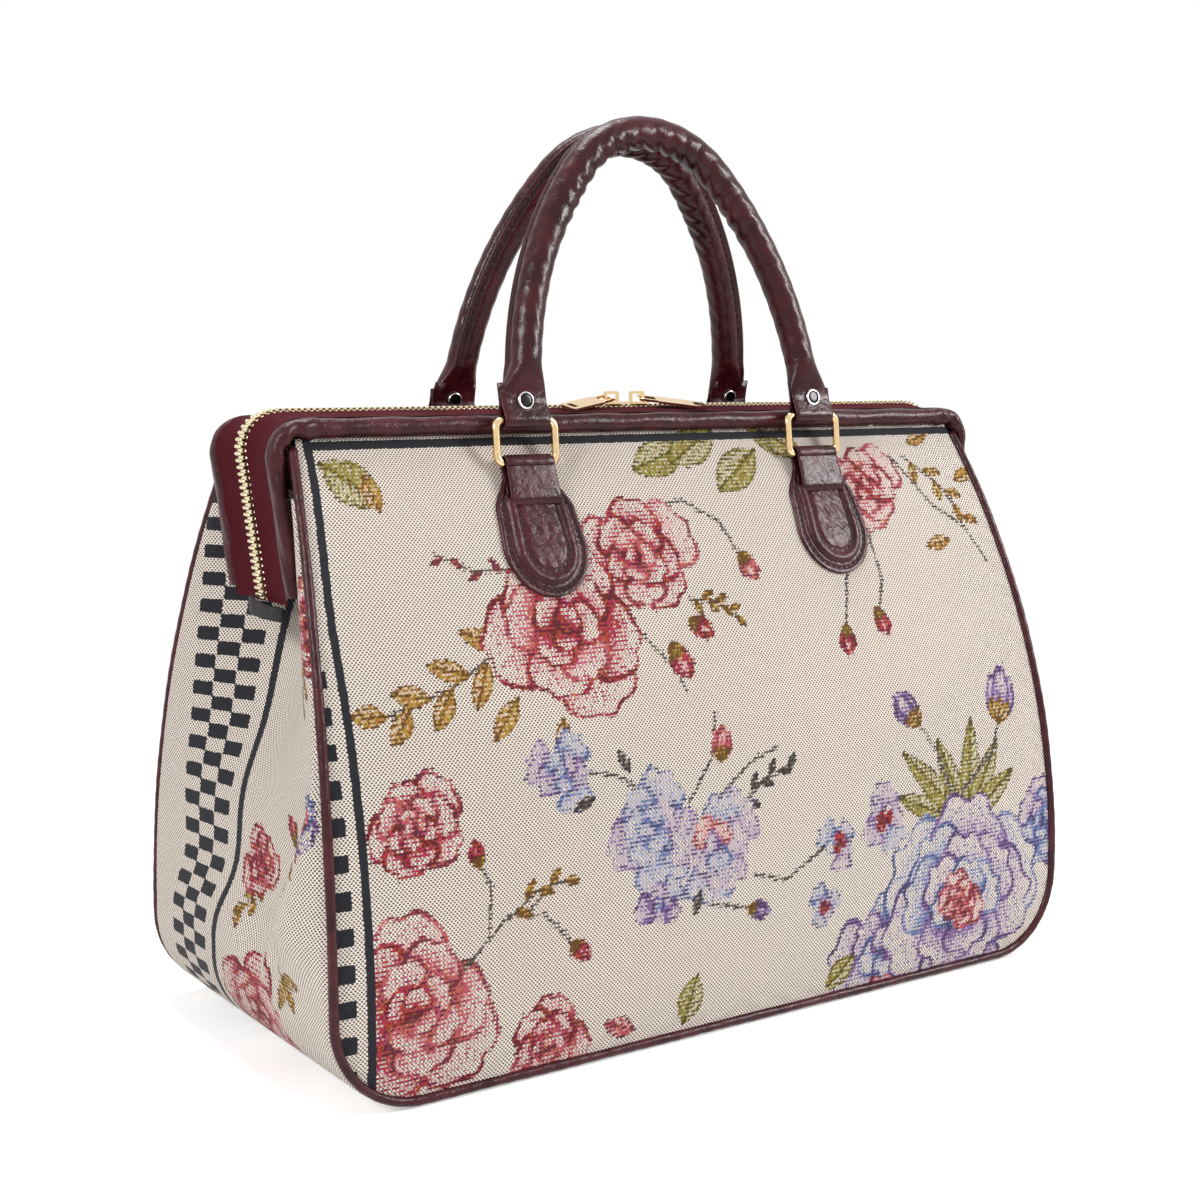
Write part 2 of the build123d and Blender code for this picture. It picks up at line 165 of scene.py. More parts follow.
# %% Node graph
class Graph:
    def __init__(self, owner):
        owner.use_nodes = True
        self.owner, self.tree = owner, owner.node_tree

    def put(self, source, target):
        if isinstance(source, (int, float)):
            target.default_value = source
        elif isinstance(source, tuple):
            target.default_value = (*source, 1.0)
        else:
            self.tree.links.new(source, target)

    def paint(self, socket, source):
        self.put(source, self.tree.nodes["Principled BSDF"].inputs[socket])

    def node(self, kind, settings=None, **links):
        made = self.tree.nodes.new("ShaderNode" + kind)
        for key, value in (settings or {}).items():
            if isinstance(key, str) and hasattr(made, key):
                setattr(made, key, value)
            else:
                made.inputs[key].default_value = value
        for key, source in links.items():
            self.put(source, made.inputs[int(key[1:]) if key[0] == "_" else key])
        return made.outputs

    def math(self, operation, *sources):
        links = {f"_{index}": source for index, source in enumerate(sources)}
        return self.node("Math", {"operation": operation}, **links)[0]

    def add(self, first, second):
        return self.math("ADD", first, second)

    def less(self, first, second):
        return self.math("SUBTRACT", first, second)

    def times(self, first, second):
        return self.math("MULTIPLY", first, second)

    def scaled(self, source, factor, start):
        return self.math("MULTIPLY_ADD", source, factor, start)

    def mix(self, share, first, second, blend="MIX"):
        kind = {"data_type": "RGBA", "blend_type": blend}
        return self.node("Mix", kind, _0=share, _6=first, _7=second)[2]

    def ramp(self, source, low, high):
        return self.node("MapRange", {"interpolation_type": "SMOOTHSTEP", 1: low, 2: high}, _0=source)[0]

    def noise(self, place, scale, detail, distortion=0.0):
        settings = {"Scale": scale, "Detail": detail, "Distortion": distortion}
        return self.node("TexNoise", settings, Vector=place)

    def threads(self):
        return self.node("UVMap", {"uv_map": "threads"})[0]

    def place(self):
        return self.node("TexCoord")[3]

    def relief(self, height, depth_mm, strength, under=None):
        links = {"Height": height} if under is None else {"Height": height, "Normal": under}
        bump = self.node("Bump", {"Strength": strength, "Distance": depth_mm * MM}, **links)[0]
        self.paint("Normal", bump)
        return bump


def finish(name, **sockets):
    graph = Graph(bpy.data.materials.new(name))
    for socket, value in sockets.items():
        graph.paint(socket.replace("_", " "), value)
    return graph


# %% [markdown]
# ## Tapestry
#
# The cloth is a jacquard weave: cream weft floats in brick-like rows with a dark warp thread showing
# between them, and coloured wefts that come up where a flower is. A dark line along the edge of each row is
# partly that warp thread and partly painted shade where the rows meet. A mesh fine enough for every float
# would be far too heavy, so the work is shared. The mesh carries, at each point, the thread colour and how
# much of the dark, middle and pale yarn comes up there. The material does the weaving: it cuts the cloth into
# short dashes along the rows, and each dash takes the yarn that its own chance number picks.

# %% Places in the weave
WARP, CREAM, BLACK = rgb(44, 35, 32), rgb(245, 232, 220), rgb(26, 26, 31)


def weave_places(g):
    place = g.threads()
    split = g.node("SeparateXYZ", Vector=place)
    row = g.math("FLOOR", split[1])
    odd = g.math("FLOORED_MODULO", row, 2.0)
    shifted = g.add(split[0], g.times(odd, 0.5))
    along = g.less(g.math("FRACT", split[1]), 0.5)
    wide = g.times(g.less(g.math("FRACT", shifted), 0.5), 1.5)
    tall = g.times(along, 1.2)
    reach = g.math("SQRT", g.add(g.times(wide, wide), g.times(tall, tall)))
    dot = g.less(1.0, g.ramp(reach, 0.33, 0.57))
    dash = g.node("CombineXYZ", X=g.math("FLOOR", g.times(shifted, 2.0)), Y=row)[0]
    return place, along, dot, odd, dash


# %% Colours of the weave
def yarn_colour(g, place, odd, dash, thread):
    luck = g.node("TexWhiteNoise", {"noise_dimensions": "2D"}, Vector=dash)
    other = g.node("SeparateColor", Color=luck["Color"])
    chance = g.scaled(luck["Value"], 0.62, g.times(odd, 0.38))
    shares = g.node("SeparateColor", Color=g.node("VertexColor", {"layer_name": "cover"})[0])
    middle = g.add(shares[0], shares[1])
    lively = g.node("HueSaturation", Color=thread[0], Hue=g.scaled(other[0], 0.07, 0.465),
                    Value=g.scaled(other[1], 0.4, 0.8))[0]
    slub = g.noise(place, 0.9, 2.0)[0]
    ground = g.mix(g.ramp(slub, 0.3, 0.75), CREAM, tint(CREAM, 0.9))
    coloured = g.math("LESS_THAN", chance, g.add(middle, shares[2]))
    colour = g.mix(coloured, ground, g.mix(0.5, lively, CREAM))
    colour = g.mix(g.math("LESS_THAN", chance, middle), colour, lively)
    dark = g.mix(1.0, lively, (0.3, 0.27, 0.32), "MULTIPLY")
    return g.mix(g.math("LESS_THAN", chance, shares[0]), colour, dark), coloured, slub, other[2]


def tapestry_finish():
    g = finish("tapestry", Roughness=0.86, Sheen_Weight=0.08, Sheen_Roughness=0.5, Specular_IOR_Level=0.2)
    place, along, dot, odd, dash = weave_places(g)
    thread = g.node("VertexColor", {"layer_name": "stitches"})
    colour, coloured, slub, luck = yarn_colour(g, place, odd, dash, thread)
    showing = g.times(dot, g.scaled(coloured, -0.55, 0.95))
    # Along each row's edge the colour turns to the dark warp: partly the warp thread, partly painted shade where
    # the rows meet.
    gap = g.times(g.ramp(g.math("ABSOLUTE", along), 0.3, 0.5), 0.3)
    colour = g.mix(g.math("MAXIMUM", showing, gap), colour, WARP)
    ink = g.ramp(g.scaled(luck, 0.24, thread[1]), 0.56, 0.68)
    g.paint("Base Color", g.mix(ink, colour, g.mix(slub, BLACK, tint(BLACK, 1.9))))
    rib = g.times(g.times(along, along), 2.4)
    g.relief(g.less(g.times(slub, 0.5), g.add(dot, rib)), 0.24, 0.85)
    return g.owner


tapestry = tapestry_finish()
print("made", tapestry.name)

# %% [markdown]
# The flowers are drawn by formula, not from a picture. A loom keeps, for every mesh point, the thread colour
# and the shares of dark, middle and pale yarn. A petal is a wide oval: full of colour at its base, almost
# cream towards the tip, and dark along the rim, which is softer in the blue flowers. A rose sets its petals
# round the heart by the golden angle, wide ones first and small ones last, so that each lies over the one
# before. Leaves are pointed ovals with a midrib and veins, and stems are thin curves.

# %% Loom and thread colours
RED, PINK, PURPLE, BLUE = rgb(168, 44, 56), rgb(188, 82, 88), rgb(132, 104, 156), rgb(114, 124, 172)
GOLD, LEAF, STEM = rgb(178, 132, 50), rgb(146, 134, 52), rgb(96, 86, 78)
ROSE, BLUSH, SKY = (RED, RED, PINK), (PINK, PINK, RED), (BLUE, BLUE, PURPLE)
LILAC = (PURPLE, BLUE, PURPLE, BLUE, PURPLE, PINK)


class Loom:
    def __init__(self, across, along):
        self.s, self.t = across, along
        self.thread, self.cover = np.zeros((2, len(along), len(across), 4))
        self.room = np.ones((len(along), len(across)))

    def patch(self, x, y, reach):
        rows = slice(*np.searchsorted(self.t, (y - reach, y + reach)))
        columns = slice(*np.searchsorted(self.s, (x - reach, x + reach)))
        return (rows, columns), self.s[columns][None, :] - x, self.t[rows][:, None] - y

    def weave(self, patch, where, thread, dark, middle, pale):
        share = where * self.room[patch]
        self.thread[patch][share > 0.02, :3] = thread
        shares = np.stack(np.broadcast_arrays(dark, middle, pale), -1)
        self.cover[patch][..., :3] += share[..., None] * (shares - self.cover[patch][..., :3])

    def draw(self, *strokes):
        for stroke, *numbers in strokes:
            stroke(self, *numbers)

    def ink(self, share):
        self.thread[..., 3] = np.maximum(self.thread[..., 3], share)

    def colours(self):
        return {"stitches": self.thread, "cover": self.cover}


def along_turn(du, dv, turn):
    return du * math.cos(turn) + dv * math.sin(turn), dv * math.cos(turn) - du * math.sin(turn)


print("thread colours:", len({RED, PINK, PURPLE, BLUE, GOLD, LEAF, STEM}))


# %% Petals and flowers
GOLDEN_ANGLE = 2.4


def petal(loom, x, y, turn, length, width, thread, fill, frill=0.07, depth=1.0, line=1.0):
    patch, du, dv = loom.patch(x, y, length + width / 2)
    u, v = along_turn(du, dv, turn)
    u, v = u / length, v / (width / 2)
    angle = np.arctan2(v, u - 0.5)
    edge = np.hypot((u - 0.5) * 2, v) / (1 + frill * np.sin(5 * angle + 3 * turn))
    mm = 2.0 / min(length, width)
    inside = 1 - smooth(1 - 0.5 * mm, 1 + 0.5 * mm, edge)
    base = np.clip(1.0 - u, 0, 1)
    rim = smooth(1 - 2.5 * mm, 1 - 1.3 * mm, edge)
    fold = np.exp(-((v - 0.4 * np.sin(3 * u + turn)) / 0.1) ** 2) * np.clip(0.85 - u, 0, 1)
    dark = 0.8 * rim * (0.6 + 0.4 * np.sin(2 * angle + 5 * turn)) + 1.3 * depth * np.clip(0.52 - u, 0, 1)
    middle = 0.95 * depth * base ** 1.2 + 0.4 * rim + 0.6 * fold
    loom.weave(patch, inside, thread, line * dark, line * middle, fill * (0.5 + 0.7 * base))


def bloom(loom, x, y, size, threads, seed, count=15, fill=0.34, frill=0.08, line=1.0):
    spin = np.random.default_rng(seed)
    first = spin.random() * math.tau
    for index in range(count):
        share = index / (count - 1)
        turn = first + GOLDEN_ANGLE * index + 0.4 * (spin.random() - 0.5)
        grow = size * (0.9 + 0.18 * spin.random())
        start = grow * (0.36 * (1 - share) ** 0.8 - 0.07)
        thread = threads[spin.integers(len(threads))]
        petal(loom, x + start * math.cos(turn), y + start * math.sin(turn), turn, grow * (0.72 - 0.42 * share),
              grow * (1.0 - 0.66 * share), thread, fill, frill, 0.5 + spin.random(), line)


print("turn from petal to petal:", round(math.degrees(GOLDEN_ANGLE)), "degrees")


# %% Leaves and stems
VEIN_PITCH, STEM_HALF = 5.2, 0.9


def leaf(loom, x, y, turn, length, width, thread):
    patch, du, dv = loom.patch(x, y, length + 2)
    u, v = along_turn(du, dv, math.radians(turn))
    u = u / length
    half = width / 2 * np.sin(np.pi * np.clip(u, 0, 1)) ** 0.85
    inside = smooth(-0.5, 0.6, half - np.abs(v)) * (u > 0) * (u < 1)
    vein = np.exp(-((np.mod(u * length - np.abs(v) * 1.1, VEIN_PITCH) - VEIN_PITCH / 2) / 0.9) ** 2)
    rim = smooth(-1.7, -0.7, np.abs(v) - half)
    dark = 0.8 * np.exp(-(v / 0.75) ** 2) + 0.55 * rim + (0.2 + 0.3 * (v < 0)) * vein
    loom.weave(patch, inside, thread, dark, 0.22 + 0.3 * (v > 0) + 0.3 * vein, 0.4)


def stem(loom, *points):
    points = np.asarray(points, float)
    where = np.linspace(0, len(points) - 1, 14 * len(points))
    index = np.clip(where.astype(int), 0, len(points) - 2)
    share = smooth(0, 1, where - index)[:, None]
    path = points[index] * (1 - share) + points[index + 1] * share
    middle = (path.min(0) + path.max(0)) / 2
    patch, du, dv = loom.patch(*middle, np.ptp(path, axis=0).max() / 2 + 4)
    nearest = np.full(np.broadcast_shapes(du.shape, dv.shape), 1e9)
    for (x, y), (run_x, run_y) in zip(path[:-1] - middle, np.diff(path, axis=0)):
        length = max(run_x * run_x + run_y * run_y, 1e-9)
        reach = np.clip(((du - x) * run_x + (dv - y) * run_y) / length, 0, 1)
        nearest = np.minimum(nearest, np.hypot(du - x - reach * run_x, dv - y - reach * run_y))
    loom.weave(patch, 1 - smooth(STEM_HALF - 0.5, STEM_HALF + 0.7, nearest), STEM, 0.4, 0.35, 0.15)


print("veins stand", VEIN_PITCH, "mm apart")


# %% Buds and sprays
def bud(loom, x, y, turn, size, threads):
    bend = math.radians(turn)
    for side, length, width in ((0.5, 0.85, 0.5), (-0.5, 0.85, 0.5), (0.0, 1.0, 0.46)):
        petal(loom, x, y, bend + 0.5 * side, size * length, size * width, threads[0], 0.5)
    for side in (-30, 0, 30):
        leaf(loom, x - 2 * math.cos(bend), y - 2 * math.sin(bend), turn + side, size * 0.5, size * 0.22, GOLD)


def spray(loom, x, y, turn, length, leaves, thread, size):
    bend = math.radians(turn)
    ahead = np.array([math.cos(bend), math.sin(bend)])
    aside = 5 * np.array([-math.sin(bend), math.cos(bend)])
    foot = np.array([x, y])
    stem(loom, foot, foot + ahead * length / 2 + aside, foot + ahead * length)
    for index in range(leaves):
        share = (index + 0.6) / leaves
        side = 1 if index % 2 else -1
        at = foot + share * length * ahead + 4 * share * (1 - share) * aside
        leaf(loom, *at, turn + side * (46 - 18 * share), size * (1.1 - 0.3 * share), size * 0.46, thread)

# %% [markdown]
# The front panel has a black line along the mouth, another near its left edge with half checks outside it,
# and clusters of roses, lilac flowers and gold leaves spread over the cream ground. The back panel uses the
# same flowers in another order. Painting goes from what lies behind to what lies in front, so each table
# below is a list of strokes in that order.

# %% Left half of the front panel
SOFT, FAINT, FRILLED = (0.75, 0.16, 0.5), (0.7, 0.18, 0.45), (0.44, 0.13)
FRONT_LEFT = (
    (spray, -128, 226, 202, 90, 7, GOLD, 25), (spray, -120, 262, 166, 46, 4, PINK, 9),
    (spray, -12, 238, -22, 34, 7, GOLD, 10),
    (stem, (-40, 290), (0, 296), (22, 282), (30, 262)), (stem, (-48, 222), (-30, 200), (-26, 188)),
    (bloom, -40, 264, 41, ROSE, 3), (bloom, -96, 230, 52, ROSE, 5),
    (bud, -30, 214, -64, 21, ROSE), (bud, -14, 226, -30, 17, ROSE), (bud, 32, 262, -70, 18, BLUSH),
    (leaf, -108, 184, 262, 28, 11, GOLD), (leaf, -132, 196, 228, 28, 11, GOLD),
    (bloom, -200, 138, 30, ROSE, 11), (bloom, -204, 50, 50, BLUSH, 13),
    (stem, (-176, 66), (-150, 88), (-128, 84), (-112, 66)),
    (stem, (-162, 80), (-160, 104), (-166, 118)), (stem, (-140, 87), (-122, 100), (-108, 98)),
    (bud, -166, 116, 100, 13, ROSE), (bud, -112, 66, -40, 14, ROSE), (spray, -150, 86, 20, 40, 5, GOLD, 11),
    (bloom, -128, 14, 30, BLUSH, 17), (leaf, -40, 8, 72, 28, 17, LEAF), (leaf, -72, 12, 160, 22, 11, PINK),
    (stem, (-112, 156), (-80, 150), (-52, 132)), (stem, (-34, 130), (-16, 152), (-10, 176)),
    (stem, (-20, 126), (10, 146), (30, 152)), (stem, (-60, 90), (-30, 74), (6, 66)),
    (spray, 0, 122, 24, 44, 6, STEM, 11),
    (bloom, -112, 156, 24, SKY, 19, 9, *SOFT), (bloom, -60, 120, 34, SKY, 21, 11, *SOFT),
    (bloom, -18, 106, 36, LILAC, 23, 11, *SOFT), (bud, -10, 150, 78, 19, BLUSH),
    (bloom, -56, 78, 18, LILAC, 25, 7, 0.75, 0.16, 0.6), (bud, 4, 66, -18, 15, LILAC),
    (leaf, -70, 150, 120, 15, 6, STEM), (leaf, -94, 140, 200, 15, 6, STEM), (leaf, -30, 82, 250, 15, 6, STEM),
)
print("strokes on the left:", len(FRONT_LEFT))

# %% Right half of the front panel
FAN = ((158, 62), (136, 70), (112, 58), (82, 64), (58, 56), (34, 50))
FRONT_RIGHT = (
    *((leaf, 172, 90, turn, length, 15, LEAF) for turn, length in FAN),
    (stem, (160, 110), (150, 136), (134, 158)), (stem, (170, 110), (196, 130), (206, 150)),
    (bud, 137, 154, 132, 25, LILAC), (bud, 205, 148, 76, 34, LILAC),
    (bloom, 238, 82, 32, LILAC, 31, 13, 0.6, 0.13, 0.9), (bloom, 108, 22, 48, LILAC, 40, 15, *FRILLED),
    (bloom, 166, 42, 68, LILAC, 29, 21, *FRILLED), (bloom, 166, 42, 17, BLUSH, 33),
    (bloom, 70, 92, 19, SKY, 70, 7, *FAINT), (bloom, 70, 92, 19 * 0.36, ROSE, 71, 5),
    (bloom, 104, 102, 23, LILAC, 104, 7, *FAINT), (bloom, 104, 102, 23 * 0.36, ROSE, 105, 5),
    (bloom, 58, 58, 15, SKY, 58, 7, *FAINT), (bloom, 58, 58, 15 * 0.36, ROSE, 59, 5),
    (stem, (58, 92), (30, 78), (8, 84)), (leaf, 62, 8, 40, 26, 15, LEAF),
    (stem, (120, 282), (104, 240), (96, 214)), (stem, (130, 276), (132, 240), (124, 222)),
    (bud, 96, 214, -100, 17, ROSE), (bud, 122, 222, -70, 16, ROSE), (bloom, 138, 300, 33, ROSE, 37),
    (leaf, 14, 330, 200, 44, 23, LEAF), (leaf, 64, 326, 215, 44, 23, LEAF),
    (leaf, 100, 322, 150, 44, 23, LEAF), (leaf, 0, 318, 30, 44, 23, LEAF),
    (spray, 178, 318, -52, 58, 6, GOLD, 15), (stem, (168, 318), (188, 286), (210, 270), (222, 246)),
    (leaf, 206, 334, 200, 22, 9, GOLD), (leaf, 214, 300, 20, 22, 9, GOLD), (leaf, 196, 262, 190, 22, 9, GOLD),
    (leaf, -224, 326, -36, 42, 24, LEAF), (leaf, -200, 318, -70, 22, 12, GOLD),
)
print("strokes on the right:", len(FRONT_RIGHT))

# %% Pictures of the panels
EDGE_LINE, HALF_CHECK, HALF_CHECK_PITCH = -228.0, 4.6, 17.6
BACK_FLOWERS = (
    (-150, 60, 58, LILAC), (70, 90, 46, ROSE), (120, 60, 36, BLUSH), (-60, 190, 34, SKY), (-20, 170, 28, LILAC),
    (160, 210, 42, ROSE), (-190, 220, 38, BLUSH), (30, 285, 34, ROSE), (-110, 300, 24, SKY),
    (205, 120, 24, LILAC), (-20, 40, 22, SKY))


def within(distance):
    return np.clip(0.5 + distance / 1.6, 0, 1)


def mouth_border(loom):
    return within(2.6 - np.abs(loom.t - PANEL_TOP + 4.4))[:, None]


def front_picture(loom):
    loom.room[:, loom.s < EDGE_LINE] = 0
    loom.draw(*FRONT_LEFT, *FRONT_RIGHT)
    s, t = loom.s[None, :], loom.t[:, None]
    loom.ink(within(2.3 - np.abs(s - EDGE_LINE)))
    loom.ink(mouth_border(loom) * within(s - EDGE_LINE + 2))
    block = within(HALF_CHECK - np.abs(np.mod(t + 1.5, HALF_CHECK_PITCH) - 4.5))
    loom.ink(block * within(-235.5 - s) * within(226 - t))


def back_picture(loom):
    rng = np.random.default_rng(71)
    for x, y, size, threads in BACK_FLOWERS:
        for thread in (GOLD, LEAF, LEAF):
            turn = 360 * rng.random()
            out_x, out_y = math.cos(math.radians(turn)), math.sin(math.radians(turn))
            spray(loom, x + 0.7 * size * out_x, y + 0.7 * size * out_y, turn, size * 0.95, 5, thread, 14)
        bloom(loom, x, y, size, threads, int(300 + size + x))
        bud(loom, x + size * 1.2, y - size * 0.5, -50, 18, threads)
    loom.ink(mouth_border(loom))


print("flowers on the back:", len(BACK_FLOWERS))

# %% [markdown]
# ## Front and back panels
#
# Each panel is a fine sheet on the arc of the body. The columns follow the warp, and the outline cuts them, so
# the edge points slide to the seam and the empty faces are dropped. At the upper left the seam draws the
# cloth in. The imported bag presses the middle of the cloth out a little, and the seam makes small puckers
# along the piping. These are point moves by formula: the cloth is stretched tight over a full bag, and a cloth
# simulation of a sheet this fine would take far too long.

# %% Make the panels
FLOAT_W, FLOAT_H, PANEL_INSET, MESH_STEP, PANEL_HALF = 2.2, 1.15, 4.9, 1.4, 246.0
FULLNESS, DRAWN_IN = 3.4, 9.0


def panel_softness(x, z):
    edge = np.minimum(half_width(z, PANEL_INSET) - np.abs(x), z - PANEL_INSET)
    low = 1 - smooth(165, 236, z)
    full = 1 - np.exp(-np.maximum(edge, 0) / 42.0)
    roll = 0.9 * np.sin(x / 47.0 + 1.1) * np.sin(z / 39.0) + 0.5 * np.sin(x / 21.0 - z / 33.0)
    pucker = 0.55 * np.exp(-np.maximum(edge, 0) / 9.0) * np.sin((np.abs(x) + 1.7 * z) / 3.6)
    return low * full * (FULLNESS + roll) + pucker * smooth(0, 3, edge)


def kept_quads(across):
    wide = np.diff(across, axis=1)
    return (np.maximum(wide[:-1], wide[1:]) > 1e-6).ravel()


def make_panel(name, face, picture):
    columns = np.linspace(-PANEL_HALF, PANEL_HALF, int(2 * PANEL_HALF / MESH_STEP) + 1)
    along = np.linspace(PANEL_INSET, PANEL_TOP, int((PANEL_TOP - PANEL_INSET) / MESH_STEP) + 1)
    z = height_on_panel(along)[:, None] + 0 * columns[None, :]
    half = half_width(z, PANEL_INSET)
    drawn_in = DRAWN_IN * smooth(230, 345, along)[:, None] * (1 - smooth(-222, -120, columns))[None, :]
    x = np.clip(columns[None, :] + drawn_in, -half, half)
    y = face * (panel_reach(z) + panel_softness(x, z))
    loom = Loom(columns, along)
    picture(loom)
    threads = np.stack([(x - drawn_in + PANEL_HALF) / FLOAT_W, (along / FLOAT_H)[:, None] + 0 * x], -1)
    kept = kept_quads(x)
    faces, corners = grid_quads(*x.shape)[kept], grid_corners(threads)[kept]
    if face > 0:
        faces, corners = faces[:, ::-1], corners[:, ::-1]
    add_piece(name + "_cloth", np.stack([x, y, z], -1), faces, tapestry, "tapestry", name,
              uv=corners, colours=loom.colours())


make_panel("front_panel", -1, front_picture)
make_panel("back_panel", 1, back_picture)

# %% [markdown]
# ## Gusset
#
# One strip of cloth runs up the left side, under the base and up the right side. Its sides fold inward
# towards the mouth, deepest near the top, and the front half bulges a little where the bag is full. Each row
# of points follows the fold, and the place across the strip is measured along the cloth, so the band of
# checks keeps its size as it goes into the fold.

# %% Shape of the fold
GUSSET_TOP, FOLD, SEAM_GAP = 296.0, 44.0, 1.0


def dip(x, middle, width):
    return np.exp(-((x - middle) / width) ** 2)


def gusset_inward(share, half, z):
    deep = FOLD * smooth(0, 1, np.clip((z - CORNER) / (GUSSET_TOP - CORNER), 0, 1)) ** 0.9
    inward = deep * (1 + np.cos(np.pi * share)) / 2
    crease_at = -0.42 - 0.5 * smooth(70, 185, z)
    soft = smooth(51, 96, z) * (1 - smooth(172, 212, z))
    puffed = np.sin(np.pi * np.clip((share + 1) / (crease_at + 1), 0, 1)) ** 1.2
    full = 0.2 * (crease_at + 1) * half * puffed
    crease = 8.0 * dip(share, crease_at, 0.06) + 4.0 * dip(share, crease_at + 0.12, 0.17)
    dent = 6.0 * dip(share, -0.2, 0.2) * dip(z, 74, 17.0) * smooth(51, 66, z)
    ripple = 1.1 * np.sin(z / 13.0 + 3 * share) * (1 - share ** 2) * smooth(60, 110, z)
    return inward + (crease * (1 - share ** 6) - full) * soft + dent + ripple


def travelled(path):
    return np.concatenate([[0], np.cumsum(np.linalg.norm(np.diff(path, axis=0), axis=1))])


def mirrored(left):
    flip = np.ones(left.shape[1])
    flip[0] = -1
    return np.concatenate([left, (left * flip)[-2::-1]])


def gusset_line(side_rows=176, bend_rows=56, base_rows=144, lowest=0.25):
    side = np.linspace(GUSSET_TOP, CORNER, side_rows)
    turn = np.linspace(0, math.pi / 2, bend_rows)[1:]
    base = np.linspace(-FLAT, 0, base_rows)[1:]
    x = np.concatenate([-side_reach(side), -FLAT - CORNER * np.cos(turn), base])
    z = np.concatenate([side, CORNER * (1 - np.sin(turn)), 0 * base])
    slope = np.concatenate([0 * side, turn, 0 * base + math.pi / 2])
    return mirrored(np.stack([x, np.maximum(z, lowest), slope], -1))


print("rows along the gusset:", len(gusset_line()))


# %% Picture of the gusset
CHECK_MIDDLE, CHECK_WIDE, CHECK_TALL, BAND_LINE = 63.3, 15.2, 7.55, 34
GUSSET_FLOWERS = (
    (-22, 268, 40, ROSE), (0, 188, 21, ROSE), (-78, 150, 20, LILAC), (-72, 60, 26, ROSE), (-60, 980, 34, ROSE),
    (-40, 900, 26, LILAC), (-70, 840, 30, ROSE), (-40, 480, 40, LILAC), (-60, 620, 34, ROSE))


def stripes(place, pitch):
    share = np.mod(place / pitch, 2)
    return np.where(share < 1, 1, -1) * np.clip(np.minimum(share % 1, 1 - share % 1) * pitch / 0.8, 0, 1)


def gusset_picture(loom):
    loom.room[:, loom.s > CHECK_MIDDLE - BAND_LINE - 2] = 0
    for x, y, size, threads in GUSSET_FLOWERS:
        loom.draw((spray, x, y, 70, size * 1.6, 6, GOLD, 13), (bloom, x, y, size, threads, y))
    loom.draw((stem, (-60, 238), (-44, 222), (-50, 190), (-40, 170)), (bud, -40, 172, -70, 15, ROSE),
              *((leaf, -60, 236, turn, 20, 8, GOLD) for turn in (70, 125, 180)))
    across = loom.s[None, :] - CHECK_MIDDLE
    checks = stripes(across + 1.5 * CHECK_WIDE, CHECK_WIDE) * stripes(loom.t, CHECK_TALL)[:, None]
    loom.ink((0.5 + 0.5 * checks) * within(1.5 * CHECK_WIDE - np.abs(across)))
    loom.ink(within(2.8 - np.abs(across + BAND_LINE)))


print("flowers on the gusset:", len(GUSSET_FLOWERS))


# %% Cloth of the gusset
GUSSET_COLUMNS, BAND_LEAN = np.arange(-134.9, 135.0, 1.9), -14.0
LINE_BENDS = ((144, 22, 2.2), (103, 20, -3.4), (70, 18, 2.4))


def gusset_row(x0, z0, slope, along, from_end):
    half = panel_reach(z0) - SEAM_GAP
    y = np.linspace(-half, half, 241)
    inward = 2.4 * smooth(half - 4.5, half, np.abs(y))
    if z0 > CORNER:
        inward = inward + gusset_inward(np.clip(y / half, -1, 1), half, z0)
    cloth = travelled(np.stack([y, inward], -1))
    cloth -= cloth[-1] / 2
    bends = sum(size * dip(z0, place, width) for place, width, size in LINE_BENDS)
    lean = BAND_LEAN * smooth(0, 250, 330 - from_end) + bends * smooth(50, 60, z0)
    place = np.clip(GUSSET_COLUMNS + lean, cloth[0], cloth[-1])
    depth = np.interp(place, cloth, inward)
    x, z = x0 - np.sign(x0) * math.cos(slope) * depth, z0 + math.sin(slope) * depth
    return np.stack([x, np.interp(place, cloth, y), z, place - lean, along + 0 * place], -1)


def make_gusset():
    line = gusset_line()
    run = travelled(line[:, :2])
    rows = np.array([gusset_row(*at, s, min(s, run[-1] - s)) for at, s in zip(line, run)])
    points, threads = rows[..., :3], rows[..., 3:]
    kept = kept_quads(threads[..., 0])
    loom = Loom(GUSSET_COLUMNS, run)
    gusset_picture(loom)
    faces = grid_quads(*points.shape[:2])[kept][:, ::-1]
    corners = (grid_corners(threads)[kept] / (FLOAT_W, FLOAT_H))[:, ::-1]
    add_piece("gusset_cloth", points, faces, tapestry, "tapestry", "gusset", uv=corners, colours=loom.colours())


make_gusset()

# %% [markdown]
# ## Leatherette
#
# The trim is a maroon coated fabric with a fine pebble grain and soft creases, more glossy on its raised
# parts. The grain is a cell pattern, the creases are stretched noise, and both drive the relief. The colour
# shifts a little between a warm and a cool maroon, as coated cloth does.

# %% Leatherette material
LEATHER_ROUGH = 0.27


def leather_finish(name, dark, light, crease, specular):
    g = finish(name, Specular_IOR_Level=specular)
    place = g.place()
    cells = g.node("TexVoronoi", {"feature": "DISTANCE_TO_EDGE", "Scale": 800.0}, Vector=place)[0]
    cloud = g.noise(place, 55.0, 4.0)[0]
    warp = {"operation": "MULTIPLY_ADD", 1: (0.012, 0.012, 0.012)}
    bent = g.node("VectorMath", warp, _0=g.noise(place, 60.0, 3.0)["Color"], _2=place)[0]
    lines = g.noise(bent, 210.0, 3.0, 0.6)[0]
    crack = g.less(1.0, g.ramp(g.math("ABSOLUTE", g.less(lines, 0.5)), 0.0, 0.05))
    shade = g.mix(g.ramp(cloud, 0.3, 0.7), dark, light)
    g.paint("Base Color", g.mix(g.times(crack, 0.3), shade, tint(dark, 0.4)))
    g.paint("Roughness", g.scaled(cloud, 0.2, LEATHER_ROUGH - 0.1))
    fine = g.relief(cells, 0.07, 0.5)
    folds = g.noise(place, 120.0, 5.0, 1.2)[0]
    g.relief(g.less(folds, g.times(crack, 0.07)), crease, 0.7, fine)
    return g.owner


